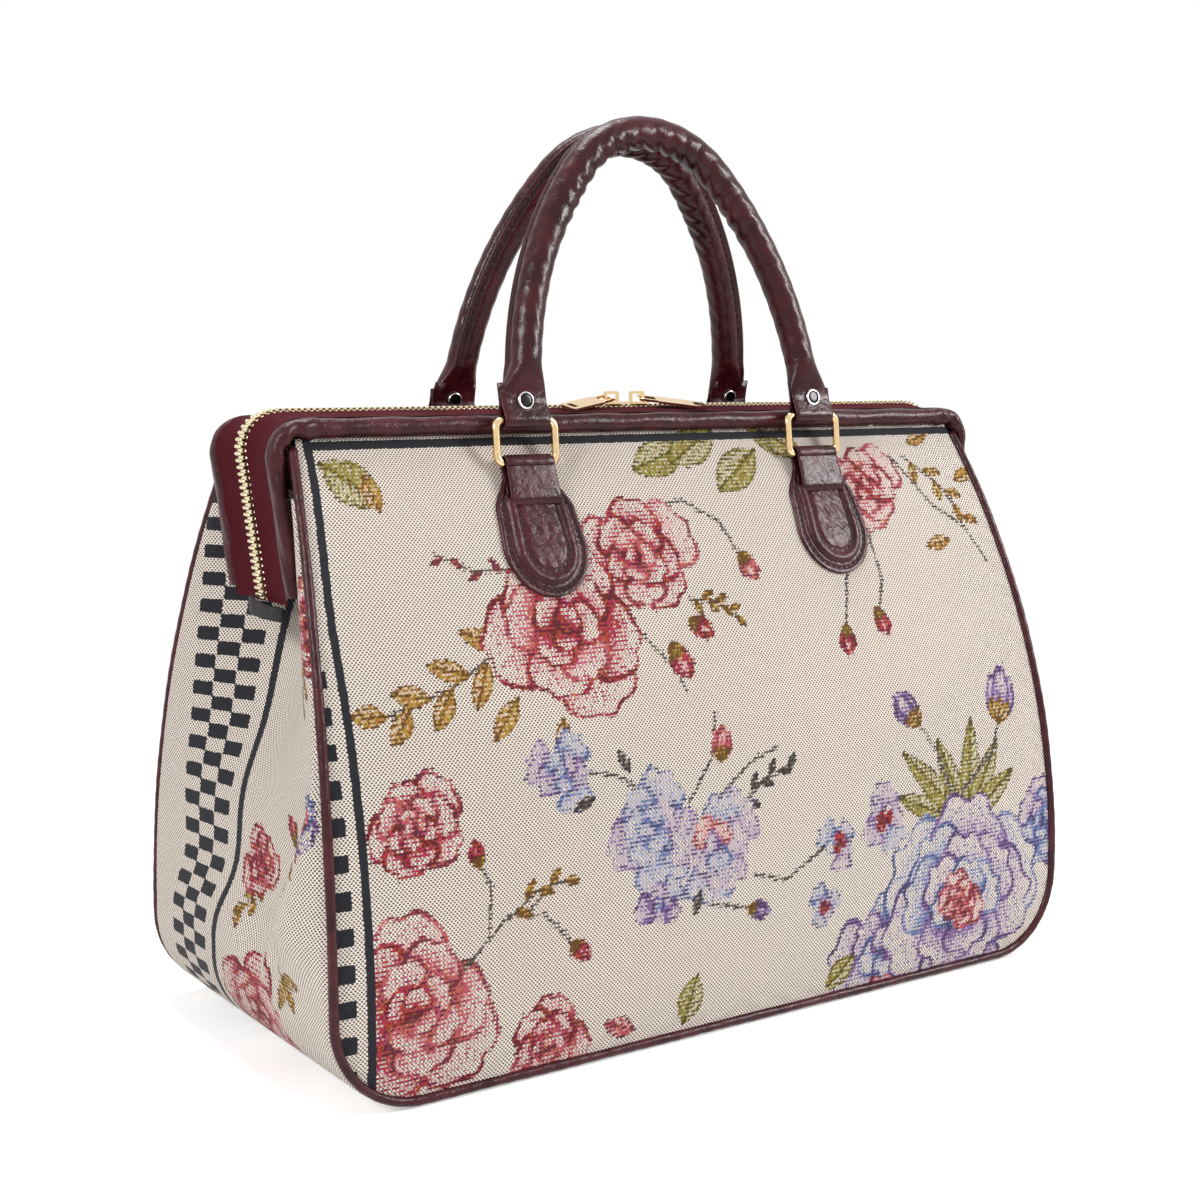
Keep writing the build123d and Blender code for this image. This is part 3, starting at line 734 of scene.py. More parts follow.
leather = leather_finish("maroon_leatherette", rgb(50, 16, 21), rgb(76, 30, 36), 0.9, 0.22)
glossy_leather = leather_finish("handle_leatherette", rgb(44, 4, 10), rgb(66, 13, 21), 0.7, 0.28)
print("made", leather.name, glossy_leather.name)

# %% [markdown]
# ## Piping
#
# A cord covered with leatherette is caught in the seam round each panel. It is a tube along the seam line:
# a row of rings, each square to the path. Small swellings between the stitches keep it from looking like
# plastic.

# %% Tubes
SIDEWAYS = np.array([0.0, 1.0, 0.0])


def full_turn(sides):
    return np.linspace(0, math.tau, sides, endpoint=False)


def ring_of(angle, first, second):
    return np.cos(angle)[None, :, None] * first[:, None] + np.sin(angle)[None, :, None] * second[:, None]


def tube_faces(rings, sides, turned=False):
    near, far = list(range(sides)), list(range((rings - 1) * sides, rings * sides))
    return list(grid_quads(rings, sides, True)) + [near[::-1] if turned else near, far]


def tube_points(path, radius):
    heading = unit(np.gradient(path, axis=0))
    out = unit(np.cross(heading, SIDEWAYS))
    around = ring_of(full_turn(radius.shape[1]), out, np.cross(heading, out))
    return path[:, None] + radius[..., None] * around


print("faces of a tube of 3 rings with 6 sides:", len(tube_faces(3, 6)))


# %% Make the piping
PIPING_INSET, PIPING_TOP, PIPING_R, PIPING_SIDES = 2.7, 320, 2.5, 14


def piping_path(face):
    z = np.linspace(PIPING_TOP, CORNER, 110)
    side = np.stack([-side_reach(z, PIPING_INSET), face * panel_reach(z), z], -1)
    turn, radius, y = np.linspace(0, math.pi / 2, 26)[1:], CORNER - PIPING_INSET, face * DEPTH / 2
    corner = np.stack([-FLAT - radius * np.cos(turn), 0 * turn + y, CORNER - radius * np.sin(turn)], -1)
    base = np.linspace(-FLAT, 0, 90)[1:]
    floor = np.stack([base, 0 * base + y, 0 * base + PIPING_INSET], -1)
    return mirrored(np.concatenate([side, corner, floor]))


for face, name in FACES:
    path = piping_path(face)
    run, lobe = travelled(path)[:, None], np.arange(PIPING_SIDES)[None, :]
    swell = PIPING_R + 0.09 * np.sin(run / 1.7) + 0.1 * np.sin(run / 11.0 + lobe)
    add_piece(name + "_piping_cord", tube_points(path, swell), tube_faces(len(path), PIPING_SIDES, True),
              leather, "leatherette", name + "_piping")

# %% [markdown]
# ## Mouth sleeves
#
# A leatherette casing holds the wire stay along each side of the mouth and hangs down at both ends. The
# casing is a tube too, but loose: it wrinkles inside the bends, flattens along the hanging legs, and its open
# ends turn in so that the thickness of the leather shows.

# %% Line of the mouth
SLEEVE_Z, SLEEVE_Y, SPAN, LEG_SET_IN, LEG_DROP, BEND = 330.1, 35.0, 238.0, 11.0, 84.0, 14.0


def mouth_line(legs=60, bends=22, top=200, longer=0.0):
    low, peak = np.array([-(SPAN - LEG_SET_IN), SLEEVE_Z - LEG_DROP]), np.array([-SPAN, SLEEVE_Z])
    up = unit(peak - low)
    low = low - longer * up
    tilt = math.acos(up[0])
    centre = peak + (BEND * math.tan(tilt / 2), -BEND)
    turn = np.linspace(math.pi / 2 + tilt, math.pi / 2, bends)
    curve = centre + BEND * np.stack([np.cos(turn), np.sin(turn)], -1)
    leg = low + (curve[0] - low) * np.linspace(0, 1, legs)[:-1, None]
    flat = np.stack([np.linspace(curve[-1][0], 0, top)[1:], np.full(top - 1, SLEEVE_Z)], -1)
    line = mirrored(np.concatenate([leg, curve, flat]))
    heading = unit(np.gradient(line, axis=0))
    return line, np.stack([-heading[:, 1], heading[:, 0]], -1)


print("length of the mouth line:", round(travelled(mouth_line()[0])[-1]), "mm")


# %% Make the sleeves
SLEEVE_R, SLEEVE_SIDES, SLEEVE_WALL = 5.0, 28, 1.8


def make_sleeve(name, face):
    line = mouth_line()[0]
    path = np.stack([line[:, 0], 0 * line[:, 0] + face * SLEEVE_Y, line[:, 1]], -1)
    run, angle = travelled(path)[:, None], full_turn(SLEEVE_SIDES)[None, :]
    from_end = np.minimum(run, run[-1] - run)
    bend, leg = np.exp(-((from_end - 88) / 16.0) ** 2), 1 - smooth(60, 100, from_end)
    inside = 0.5 - 0.5 * np.cos(angle)
    wave = np.sin(from_end / 2.1 + 1.2 * np.sin(2 * angle + from_end / 9.0))
    wrinkle = bend * (0.25 + inside) * 0.9 * wave + 0.2 * np.sin(run / 7.0 + 2 * angle)
    crease = leg * 0.6 * np.sin(from_end / 4.3 + 1.5 * np.sin(angle)) * np.sin(angle + 0.5) ** 2
    flat = leg * (0.75 * np.sin(angle) ** 2 - 1.0 * np.cos(angle) ** 2)
    radius = SLEEVE_R + wrinkle + crease + flat
    near = tube_points(path[:12], radius[:12] - SLEEVE_WALL)[[8, 0]]
    far = tube_points(path[-12:], radius[-12:] - SLEEVE_WALL)[[-1, 3]]
    points = np.concatenate([near, tube_points(path, radius), far])
    add_piece(name + "_mouth_sleeve_leather", points, grid_quads(len(points), SLEEVE_SIDES, True),
              leather, "leatherette", name + "_mouth_sleeve")


for face, name in FACES:
    make_sleeve(name, face)

# %% [markdown]
# ## Zip
#
# Two woven tapes lie slack between the sleeves and carry the teeth along the same bent line. The tape is a
# narrow sheet with a twill. The teeth are small cast wedges, one shape repeated: a numpy array of places
# copies it along each tape, the two rows half a pitch apart, so that they mesh on the hanging ends. Along
# the top a slot stays open between the rows, where the bridges of the sliders run. The rings, sliders and
# pulls keep their solids and get a pale gold, whose roughness changes a little with wear.

# %% Tape material
def zip_cloth_finish():
    g = finish("maroon_zip_tape", Roughness=0.85, Specular_IOR_Level=0.1)
    place = g.threads()
    bands = {"wave_type": "BANDS", "bands_direction": "DIAGONAL", "Scale": 0.42, "Distortion": 0.4}
    twill = g.node("TexWave", bands, Vector=place)[1]
    shade = g.mix(g.noise(place, 0.6, 3.0)[0], rgb(64, 10, 19), rgb(86, 18, 31))
    g.paint("Base Color", g.mix(g.times(twill, 0.5), shade, rgb(40, 8, 15)))
    g.relief(twill, 0.25, 0.6)
    return g.owner


zip_tape = zip_cloth_finish()
print("made", zip_tape.name)

# %% Make the tapes
TAPE_END, TAPE_WIDTH, TAPE_ROWS = 5.0, 34.0, 15


def zip_line(reach, rise, leg_reach, leg_rise, counts=(60, 22, 200)):
    line, outward = mouth_line(*counts, longer=TAPE_END)
    run = travelled(line)
    hanging = 1 - smooth(66, 99, np.minimum(run, run[-1] - run) - TAPE_END)
    place = line + (rise + (leg_rise - rise) * hanging)[:, None] * outward
    across = reach + (leg_reach - reach) * hanging
    return np.stack([place[:, 0], across, place[:, 1]], -1), outward, hanging


def make_tape(name, face):
    rows, places = [], np.linspace(0, 1, TAPE_ROWS)
    for share in places:
        slack = 5.2 * share * (1 - share)
        row, outward, hanging = zip_line(34.0 - 30.6 * share, 5.4 + 2.6 * share - slack, 31.6 - 28.2 * share,
                                         2.9 - 0.9 * share - slack, (50, 20, 120))
        ripple = (0.3 + 0.5 * hanging) * np.sin(travelled(row) / 9.0 + 2 * share) * 4 * share * (1 - share)
        row[:, [0, 2]] += ripple[:, None] * outward
        rows.append(row * (1, face, 1))
    run = travelled(rows[TAPE_ROWS // 2])[None, :]
    threads = np.stack(np.broadcast_arrays(run, TAPE_WIDTH * places[:, None]), -1)
    add_piece(name + "_zip_tape_cloth", np.array(rows), grid_quads(*threads.shape[:2]), zip_tape,
              "zip_cloth", name + "_zip_tape", uv=grid_corners(threads))


for face, name in FACES:
    make_tape(name, face)


# %% Gold metal
def gold_finish(name, colour, rough):
    g = finish(name, Metallic=1.0)
    wear = g.noise(g.place(), 260.0, 4.0)[0]
    g.paint("Base Color", g.mix(g.ramp(wear, 0.35, 0.75), colour, tint(colour, 0.86)))
    g.paint("Roughness", g.scaled(wear, 0.16, rough - 0.06))
    g.relief(wear, 0.02, 0.3)
    return g.owner


def paint_solids(material, *kinds):
    solids = [cad for name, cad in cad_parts.items() if any(kind in name for kind in kinds)]
    for cad in solids:
        cad.data.materials.clear()
        cad.data.materials.append(material)
    print(material.name, "on solids:", len(solids))


gold = gold_finish("pale_gold", rgb(236, 204, 156), 0.14)
tooth_gold = gold_finish("zip_gold", rgb(240, 226, 192), 0.3)
paint_solids(gold, "_ring", "_slider", "_pull")

# %% Teeth
TOOTH_PITCH, FIRST_TOOTH, TOOTH_FOOT, TOOTH_SIDE, TOOTH_TOP = 3.5, 1.2, -1.1, 0.9, 1.4
TOOTH_RINGS = ((0.0, 0.75), (0.1, 1.05), (0.5, 1.0), (0.75, 0.75), (0.95, 0.75), (1.0, 0.5))
TOOTH_CORNERS = ((-1, TOOTH_FOOT), (1, TOOTH_FOOT), (1, TOOTH_SIDE), (0.6, TOOTH_TOP), (-0.6, TOOTH_TOP),
                 (-1, TOOTH_SIDE))


def tooth_shape(reach):
    return np.array([[(share * reach, side * half, up) for side, up in TOOTH_CORNERS]
                     for share, half in TOOTH_RINGS])


def join_parts(parts):
    points, faces, start = [], [], 0
    for part_points, part_faces in parts:
        points.append(part_points.reshape(-1, 3))
        faces += [[start + int(i) for i in f] for f in part_faces]
        start += len(points[-1])
    return np.concatenate(points), faces


def make_teeth(name, face, first):
    path, outward, hanging = zip_line(0.0, 8.0, 0.0, 2.2)
    run, teeth = travelled(path), []
    for place in np.arange(first, run[-1] - 1, TOOTH_PITCH):
        x, y, z, out_x, out_z, low = (np.interp(place, run, line) for line in (*path.T, *outward.T, hanging))
        out = unit(np.array([out_x, 0.0, out_z]))
        along = np.array([out[2], 0.0, -out[0]])
        root, shape = 4.3 + 0.9 * low, tooth_shape(3.4 + 2.9 * smooth(0, 0.3, low))
        across, wide, up = (shape[..., k, None] for k in range(3))
        points = np.array([x, y, z]) + face * (root - across) * SIDEWAYS + wide * along + up * out
        teeth.append((points, tube_faces(len(TOOTH_RINGS), len(TOOTH_CORNERS))))
    add_piece(name + "_zip_tooth_row", *join_parts(teeth), tooth_gold, "gold_metal", name + "_zip_teeth")


make_teeth("front", -1, FIRST_TOOTH)
make_teeth("back", 1, FIRST_TOOTH + TOOTH_PITCH / 2)

# %% [markdown]
# ## Inside pieces, webbing and thread
#
# The base board and the wire stays keep their solids and get a finish of their own: brown card with flecks
# and worn steel. Black webbing is for the short flat tails of the zip and dark thread for the stitches. All four
# are one recipe, a fine noise that mixes two colours and gives a little relief.

# %% Plain finishes with a grain
def grained(name, first, second, scale, rough, metallic=0.0):
    g = finish(name, Metallic=metallic, Roughness=rough)
    fleck = g.noise(g.place(), scale, 5.0)[0]
    g.paint("Base Color", g.mix(g.ramp(fleck, 0.35, 0.7), first, second))
    g.relief(fleck, 0.1, 0.5)
    return g.owner


card = grained("base_card", rgb(160, 138, 110), rgb(132, 112, 88), 300.0, 0.9)
steel = grained("stay_steel", rgb(150, 150, 150), rgb(112, 112, 112), 600.0, 0.4, 1.0)
webbing = grained("black_webbing", rgb(24, 23, 24), rgb(44, 40, 40), 800.0, 0.8)
thread = grained("dark_thread", rgb(20, 9, 11), rgb(36, 19, 21), 1500.0, 0.75)
paint_solids(card, "base_board")
paint_solids(steel, "_mouth_stay")

# %% [markdown]
# ## Stitches
#
# Thread is modelled, because a stitch casts a small shadow that no bump gives. Each stitch is a short
# spindle that dips at both ends. One function lays them along any line.

# %% Stitches along a line
STITCH_LIFT, STITCH_SIZE = np.array([-0.5, 0.25, 0.4, 0.25, -0.5]), np.array([0.45, 0.9, 1.0, 0.9, 0.45])
STITCH_RINGS, STITCH_SIDES, STITCH_LENGTH, STITCH_GAP = 5, 6, 2.6, 0.9


def stitch_row(line, normals, length=STITCH_LENGTH, gap=STITCH_GAP, radius=0.42):
    run, stitches = travelled(line), []
    for start in np.arange(0.5, run[-1] - length, length + gap):
        at = start + length * np.linspace(0, 1, STITCH_RINGS)
        centre = np.stack([np.interp(at, run, line[:, k]) for k in range(3)], -1)
        normal = unit(np.stack([np.interp(at, run, normals[:, k]) for k in range(3)], -1))
        side = np.cross(unit(np.gradient(centre, axis=0)), normal)
        lifted = centre + radius * STITCH_LIFT[:, None] * normal
        around = ring_of(full_turn(STITCH_SIDES), side, normal)
        points = lifted[:, None] + radius * STITCH_SIZE[:, None, None] * around
        stitches.append((points, tube_faces(STITCH_RINGS, STITCH_SIDES)))
    return join_parts(stitches)


print("fine stitches start every", STITCH_LENGTH + STITCH_GAP, "mm")

# %% [markdown]
# ## Straps and the ends of the zip
#
# A strap is a flat strip swept along a path with rounded corners. Its section is a bar with soft edges, which
# catch the light as folded leather and webbing do. The first two straps are the short black tails of the zip.

# %% Straps
STRAP_SIDES = 28


def strap(path, across, width, thickness):
    normal = np.cross(across, unit(np.gradient(path, axis=0)))
    angle = full_turn(STRAP_SIDES)
    wide = np.sign(np.cos(angle)) * np.abs(np.cos(angle)) ** 0.3
    thick = np.sign(np.sin(angle)) * np.abs(np.sin(angle)) ** 0.6
    sheet = path[:, None] + (width[:, None] / 2 * wide)[..., None] * across
    points = sheet + (thickness / 2 * thick)[None, :, None] * normal[:, None]
    return points, tube_faces(len(path), STRAP_SIDES, True)


def round_path(points, radius, steps):
    points = np.array(points, float)
    path = [points[0]]
    for before, corner, after in zip(points, points[1:], points[2:]):
        a, b = unit(before - corner), unit(after - corner)
        opening = math.acos(np.clip(a @ b, -1, 1))
        room = 0.49 * min(np.linalg.norm(before - corner), np.linalg.norm(after - corner))
        trim = min(radius / math.tan(opening / 2), room)
        start, end = corner + a * trim, corner + b * trim
        for share in np.linspace(0, 1, steps):
            path.append((1 - share) ** 2 * start + 2 * share * (1 - share) * corner + share ** 2 * end)
    path.append(points[-1])
    return np.array(path)


print("points round a strap:", STRAP_SIDES)

# %% Webbing at the ends of the zip
TAIL = np.array([(231.5, 8.0, 238.5), (233.4, 0.0, 237.5), (232.0, -10.0, 236.0), (227.5, -22.0, 235.0)])
for side, name in SIDES:
    path = round_path(TAIL * (side, 1, 1), 8.0, 8)
    points, faces = strap(path, (0, 0, 1), np.linspace(9.0, 7.5, len(path)), 2.8)
    add_piece(name + "_zip_end_webbing", points, faces, webbing, "end_cloth", name + "_zip_end")

# %% [markdown]
# ## Handle tabs
#
# A tab is a leather tongue with a round end, stitched to the panel, with a narrower padded tongue on it and a
# strap that folds round the ring. The tongues are one height field over the panel's arc: thickness at the
# rim, a step up to the pad, and a groove where each row of stitches pulls the leather down. The strap is a
# flat strip swept round the ring's lower bar.

# %% Outline of the tongues
TAB = dict(width=52.0, top_width=45.0, top=305.0, low=241.0, taper=8.0)
PAD = dict(width=38.0, top_width=35.0, top=301.0, low=248.0, taper=0.0)


def tongue_bend(shape):
    return shape["width"] / 2, shape["low"] + shape["width"] / 2


def tongue_half(z, shape):
    half, bend = tongue_bend(shape)
    rounded = np.sqrt(np.maximum(half ** 2 - np.minimum(bend - z, half) ** 2, 0))
    straight = half + (shape["top_width"] - shape["width"]) / 2 * (z - bend) / (shape["top"] - bend)
    straight = straight - shape["taper"] * smooth(286, shape["top"], z)
    return np.where(z < bend, rounded, straight) * ((z >= shape["low"] - 1e-6) & (z <= shape["top"] + 1e-6))


def inside_tongue(x, z, shape):
    half, bend = tongue_bend(shape)
    low = half - np.hypot(x, np.minimum(z - bend, 0))
    straight = tongue_half(np.maximum(z, bend), shape) - np.abs(x)
    return np.minimum(np.where(z < bend, low, straight), shape["top"] - z)


print("widths of the tongues:", TAB["width"], PAD["width"], "mm")


# %% Surface of the tab
RIM_SEAM, PAD_RIDGE, SEAM_TOP = 3.6, 6.0, 293.5


def rounded_edge(inside, width):
    return np.sqrt(1 - (1 - np.clip(inside / width, 0, 1)) ** 2)


def tab_surface(x, z, above=0.0):
    rim, pad = inside_tongue(x, z, TAB), inside_tongue(x, z, PAD)
    step = rounded_edge(pad, 1.0) * (1 - smooth(291.5, SEAM_TOP, z))
    ridge = np.sin(np.pi * np.clip(pad / PAD_RIDGE, 0, 1)) ** 0.8
    middle = smooth(PAD_RIDGE, PAD_RIDGE + 3, pad)
    lift = 0.2 + 1.7 * rounded_edge(rim, 1.1) + step * (1.3 + 1.1 * ridge + 0.5 * middle)
    lift = lift - 0.7 * dip(rim, RIM_SEAM, 0.7) - 0.8 * step * dip(pad, PAD_RIDGE, 0.8)
    crease = np.sin(0.9 * x + 0.75 * z + 1.2 * np.sin(0.4 * z)) * np.sin(0.31 * z + 0.5)
    return np.stack([x, -panel_reach(z, -(lift + 0.22 * crease * middle + above)), z], -1)


def rim_line(shape, inset):
    half, bend = tongue_bend(shape)
    half, head, top = half - inset, shape["top_width"] / 2 - inset, shape["top"] - inset
    turn, share = np.linspace(math.pi, math.tau, 40), np.linspace(0, 1, 24)
    left = np.stack([-head + (head - half) * share, top + (bend - top) * share], -1)
    low = np.stack([half * np.cos(turn), bend + half * np.sin(turn)], -1)
    line = np.concatenate([left[:-1], low, (left * (-1, 1))[::-1][1:]])
    return line[line[:, 1] < SEAM_TOP].T


print("length of the rim seam:", round(travelled(rim_line(TAB, RIM_SEAM).T)[-1]), "mm")

# %% Parts of a tab
RING_FOOT, FOLD_R, TAB_NORMAL = (-48.642, 310.0), 3.7, (0.0, -0.95, 0.3)
STRAP_DOWN, STRAP_BACK = ((288.5, 3.3), (293.0, 4.6), (299.0, 5.6)), ((296.0, 1.4), (290.0, 1.2))


def tab_strap():
    y, z = RING_FOOT
    arc = np.linspace(math.radians(200), math.radians(-20), 15)
    loop = [(0.0, -panel_reach(h, -lift), h) for h, lift in STRAP_DOWN]
    loop += [(0.0, y + FOLD_R * math.cos(a), z + FOLD_R * math.sin(a)) for a in arc]
    loop += [(0.0, -panel_reach(h, -lift), h) for h, lift in STRAP_BACK]
    path = round_path(loop, 6.0, 4)
    return strap(path, (1, 0, 0), 30.0 + 1.6 * smooth(304, 292, path[:, 2]), 2.0)


def tab_tongues():
    half, bend = tongue_bend(TAB)
    turn, even = np.linspace(0, math.pi / 2, 30), np.linspace(-1, 1, 71)
    z = np.concatenate([bend - half * np.cos(turn), np.linspace(bend, TAB["top"], 56)[1:]])
    share = np.sin(math.pi / 2 * even) * 0.35 + even * 0.65
    z = z[:, None] + 0 * share[None, :]
    return tab_surface(tongue_half(z, TAB) * share[None, :], z), grid_quads(*z.shape)


def tab_stitches():
    rows = []
    for shape, inset in ((TAB, RIM_SEAM), (PAD, PAD_RIDGE)):
        line = tab_surface(*rim_line(shape, inset), 0.1)
        rows.append(stitch_row(line, np.tile(TAB_NORMAL, (len(line), 1)), 2.9, 1.1, 0.6))
    cross = np.linspace(-14.5, 14.5, 20)
    line = np.stack([cross, 0 * cross - panel_reach(292.0, -5.5), 0 * cross + 292.0], -1)
    return rows + [stitch_row(line, np.tile(TAB_NORMAL, (len(line), 1)))]


print("stitch rows on a tab:", len(tab_stitches()))

# %% Make the tabs
FOOT_HALF, HANDLE_MIDDLE = 100.0, {"front": 3.0, "back": 11.0}


def turned_to(face, faces):
    return faces if face < 0 else [f[::-1] for f in faces]


def make_tab(name, centre, face):
    for kind, parts, material, replaced in (("leather", [tab_tongues(), tab_strap()], leather, name + "_tab"),
                                            ("stitches", tab_stitches(), thread, None)):
        points, faces = join_parts(parts)
        add_piece(f"{name}_tab_{kind}", points * (1.0, -face, 1.0) + (centre, 0.0, 0.0), turned_to(face, faces),
                  material, "leatherette", replaced)


for face, face_name in FACES:
    for side, name in SIDES:
        make_tab(f"{face_name}_{name}", HANDLE_MIDDLE[face_name] + side * FOOT_HALF, face)

# %% [markdown]
# ## Rolled handles
#
# Each handle is a strip of leatherette rolled round a filler and closed by a stitched edge. On the inside of
# the bend the leather is gathered into puffs. The tube is a grid of rings along the arch, and its radius is
# pushed out by the puffs, by the stitched edge and by fine creases. Below, the roll flattens into a strap
# that goes round the ring, comes up behind and ends in a short flap under the rivet.

# %% Arch of the handle
HANDLE_R, HANDLE_TOP, CROWN_R = 8.7, 162.5, 62.0
LEAN, SPLAY, SHOULDER = math.radians(10.7), math.radians(8.0), math.radians(50.0)
RING_HEAD = (-46.28, 332.476)


def handle_arch():
    end = math.pi / 2 - SPLAY
    crown_foot = np.array([0, HANDLE_TOP - CROWN_R])
    shoulder = crown_foot + CROWN_R * np.array([math.sin(SHOULDER), math.cos(SHOULDER)])
    need = FOOT_HALF - math.tan(SPLAY) * shoulder[1] - shoulder[0]
    gain = math.sin(end) - math.sin(SHOULDER) - math.tan(SPLAY) * (math.cos(SHOULDER) - math.cos(end))
    radius = need / gain
    centre = shoulder - radius * np.array([math.sin(SHOULDER), math.cos(SHOULDER)])
    low, high = np.linspace(end, SHOULDER, 70), np.linspace(SHOULDER, 0, 46)[1:]
    leg = centre + radius * np.stack([np.sin(low), np.cos(low)], -1)
    crown = crown_foot + CROWN_R * np.stack([np.sin(high), np.cos(high)], -1)
    arch = mirrored(np.concatenate([leg, crown]))
    return np.stack([arch[:, 0], 0 * arch[:, 0], arch[:, 1]], -1)


def to_bag(points, centre, face):
    lean_y = RING_HEAD[0] + points[..., 2] * math.sin(LEAN) + points[..., 1] * math.cos(LEAN)
    lean_z = RING_HEAD[1] + points[..., 2] * math.cos(LEAN) - points[..., 1] * math.sin(LEAN)
    return np.stack([points[..., 0] + centre, -face * lean_y, lean_z], -1)


print("length of the arch:", round(travelled(handle_arch())[-1]), "mm")

# %% Roll of the handle
SEAM, SEAM_EDGE, PUFF_PITCH, ROLL_SIDES = math.radians(140.0), 2.6, 11.0, 72


def from_seam(angle):
    return np.angle(np.exp(1j * (angle - SEAM)))


def handle_roll(path, inward, angle, edge):
    run = travelled(path)[:, None]
    share, angle = run / run[-1], angle[None, :]
    middle = smooth(0.16, 0.3, share) * (1 - smooth(0.7, 0.84, share))
    inner = np.maximum(np.cos(angle) + 0.15, 0) ** 0.8
    wander = 1.6 * np.sin(7 * share * math.tau) + 7.5 * np.sin(angle)
    puff = np.abs(np.sin((run + wander) * math.pi / PUFF_PITCH)) ** 0.7
    radius = HANDLE_R - 0.5 * middle * inner + 1.9 * middle * inner * puff
    radius = radius + SEAM_EDGE * edge - 0.5 * dip(np.abs(from_seam(angle)), 0.3, 0.1)
    radius = radius + 0.12 * np.sin(run / 1.9 + 3 * np.sin(2 * angle)) * (1 - edge)
    return path[:, None] + radius[..., None] * ring_of(angle[0], inward, SIDEWAYS[None])


print("puffs start every", PUFF_PITCH, "mm")

# %% Ends of the handle
END_UP, END_WIDE, END_THICK, EYE_R = 12.0, 14.0, 2.3, 3.68


def end_rings(tip, side, angle, edge):
    rings, c, s = [], np.cos(angle), np.sin(angle)
    for share in np.linspace(0, 1, 14)[1:]:
        bent = smooth(0, 1, share)
        wide, thick = HANDLE_R + (END_WIDE - HANDLE_R) * bent, HANDLE_R + (END_THICK - HANDLE_R) * bent
        ridge = 1 + SEAM_EDGE / HANDLE_R * edge * (1 - smooth(0.1, 0.8, share))
        x = np.sign(c) * np.abs(c) ** (1 - 0.62 * bent) * wide * ridge * -side
        y = np.sign(s) * np.abs(s) ** (1 - 0.35 * bent) * thick * ridge
        dimple = 0.5 * math.sin(share * math.pi) * np.sin(3 * angle + side)
        x, z = tip[0] + (side * FOOT_HALF - tip[0]) * share + x, tip[2] + (END_UP - tip[2]) * share
        rings.append(np.stack([x, y + dimple * (1 - bent), z + 0 * x], -1))
    return np.array(rings)


def end_strap(side):
    turn = np.linspace(math.radians(165), math.radians(375), 16)
    loop = [(-1.2, 16.0), (-1.2, 9.0)] + [(EYE_R * math.cos(a), EYE_R * math.sin(a)) for a in turn]
    loop += [(1.3, 9.0), (1.3, 14.5), (2.6, 20.5)]
    strip = round_path([(side * FOOT_HALF, y, z) for y, z in loop], 5.0, 4)
    return strap(strip, (1, 0, 0), 28.0 - 1.6 * smooth(14, 20, strip[:, 2]) * (strip[:, 1] > 0), 2.2)


print("points of an end strap:", end_strap(1)[0].shape[:2])


# %% Make the handles
def make_handle(name, face):
    path, angle = handle_arch(), full_turn(ROLL_SIDES)
    inward = np.cross(unit(np.gradient(path, axis=0)), SIDEWAYS)
    edge = np.exp(-(from_seam(angle) / 0.125) ** 4)
    right, left = end_rings(path[0], 1, angle, edge)[::-1], end_rings(path[-1], -1, angle, edge)
    roll = np.concatenate([right, handle_roll(path, inward, angle, edge), left])
    stitches = []
    for offset in (-0.24, 0.24):
        at = np.cos(SEAM + offset) * inward + np.sin(SEAM + offset) * SIDEWAYS
        stitches.append(stitch_row((path + at * (HANDLE_R + 0.35))[8:-8], at[8:-8], 3.0, 1.4, 0.4))
    leathers = [(roll, grid_quads(len(roll), ROLL_SIDES, True)), end_strap(-1), end_strap(1)]
    for kind, parts, material, replaced in (("roll", leathers, glossy_leather, name + "_handle"),
                                            ("stitches", stitches, thread, None)):
        points, faces = join_parts(parts)
        add_piece(f"{name}_handle_{kind}", to_bag(points, HANDLE_MIDDLE[name], face), turned_to(face, faces),
                  material, "leatherette", replaced, name + "_grip")


for face, name in FACES:
    make_handle(name, face)

# %% [markdown]
# A rivet closes each handle end: a chrome cap with a rolled rim, outside and inside. Its colour carries a
# painted highlight on the rim round a painted dark reflection in the polished middle. The profile is turned
# round the rivet's axis, and each point carries a share of the painted highlight, which tells the material
# where the rim is.

# %% Rivets
RIVET_UP, RIVET_SIDES = 10.2, 36
RIVET_PROFILE = np.array([
    (0.0, -3.7), (2.4, -3.75), (3.3, -3.65), (3.55, -3.5), (3.8, -3.9), (4.2, -4.1), (4.6, -3.9), (4.9, -3.4),
    (4.9, -2.2), (2.0, -1.6), (2.0, 1.6), (4.4, 2.4), (4.4, 3.4), (4.1, 3.8), (3.6, 3.9), (3.2, 3.6),
    (1.9, 3.5), (0.0, 3.5)])


def rivet_finish():
    g = finish("rivet_chrome", Metallic=1.0, Roughness=0.16)
    painted_rim_highlight = g.node("VertexColor", {"layer_name": "painted_rim_highlight"})[0]
    # Painted dark reflection in the middle of the cap, and a painted highlight in pale grey on the rim.
    middle = g.mix(g.noise(g.place(), 900.0, 3.0)[0], rgb(30, 29, 31), rgb(58, 55, 57))
    g.paint("Base Color", g.mix(painted_rim_highlight, middle, rgb(226, 222, 218)))
    return g.owner


def make_rivet(face_name, side_name, across, face):
    turn = full_turn(RIVET_SIDES)[None, :]
    radius, depth = np.maximum(RIVET_PROFILE[:, :1], 0.02), RIVET_PROFILE[:, 1:]
    points = np.stack([across + radius * np.cos(turn), depth + 0 * turn, RIVET_UP + radius * np.sin(turn)], -1)
    # Share of the painted rim highlight at each point.
    painted_highlight_share = (smooth(3.85, 4.15, radius) + 0 * turn).reshape(-1, 1)
    name, faces = f"{face_name}_{side_name}_rivet", grid_quads(*points.shape[:2], closed=True)
    add_piece(name + "_cap", to_bag(points, HANDLE_MIDDLE[face_name], face), turned_to(face, faces),
              rivet_chrome, "rivet_metal", name, face_name + "_grip",
              colours={"painted_rim_highlight": np.hstack([painted_highlight_share, painted_highlight_share, painted_highlight_share, 1 + 0 * painted_highlight_share])})


rivet_chrome = rivet_finish()
for face, face_name in FACES:
    for side, name in SIDES:
        make_rivet(face_name, name, side * FOOT_HALF, face)

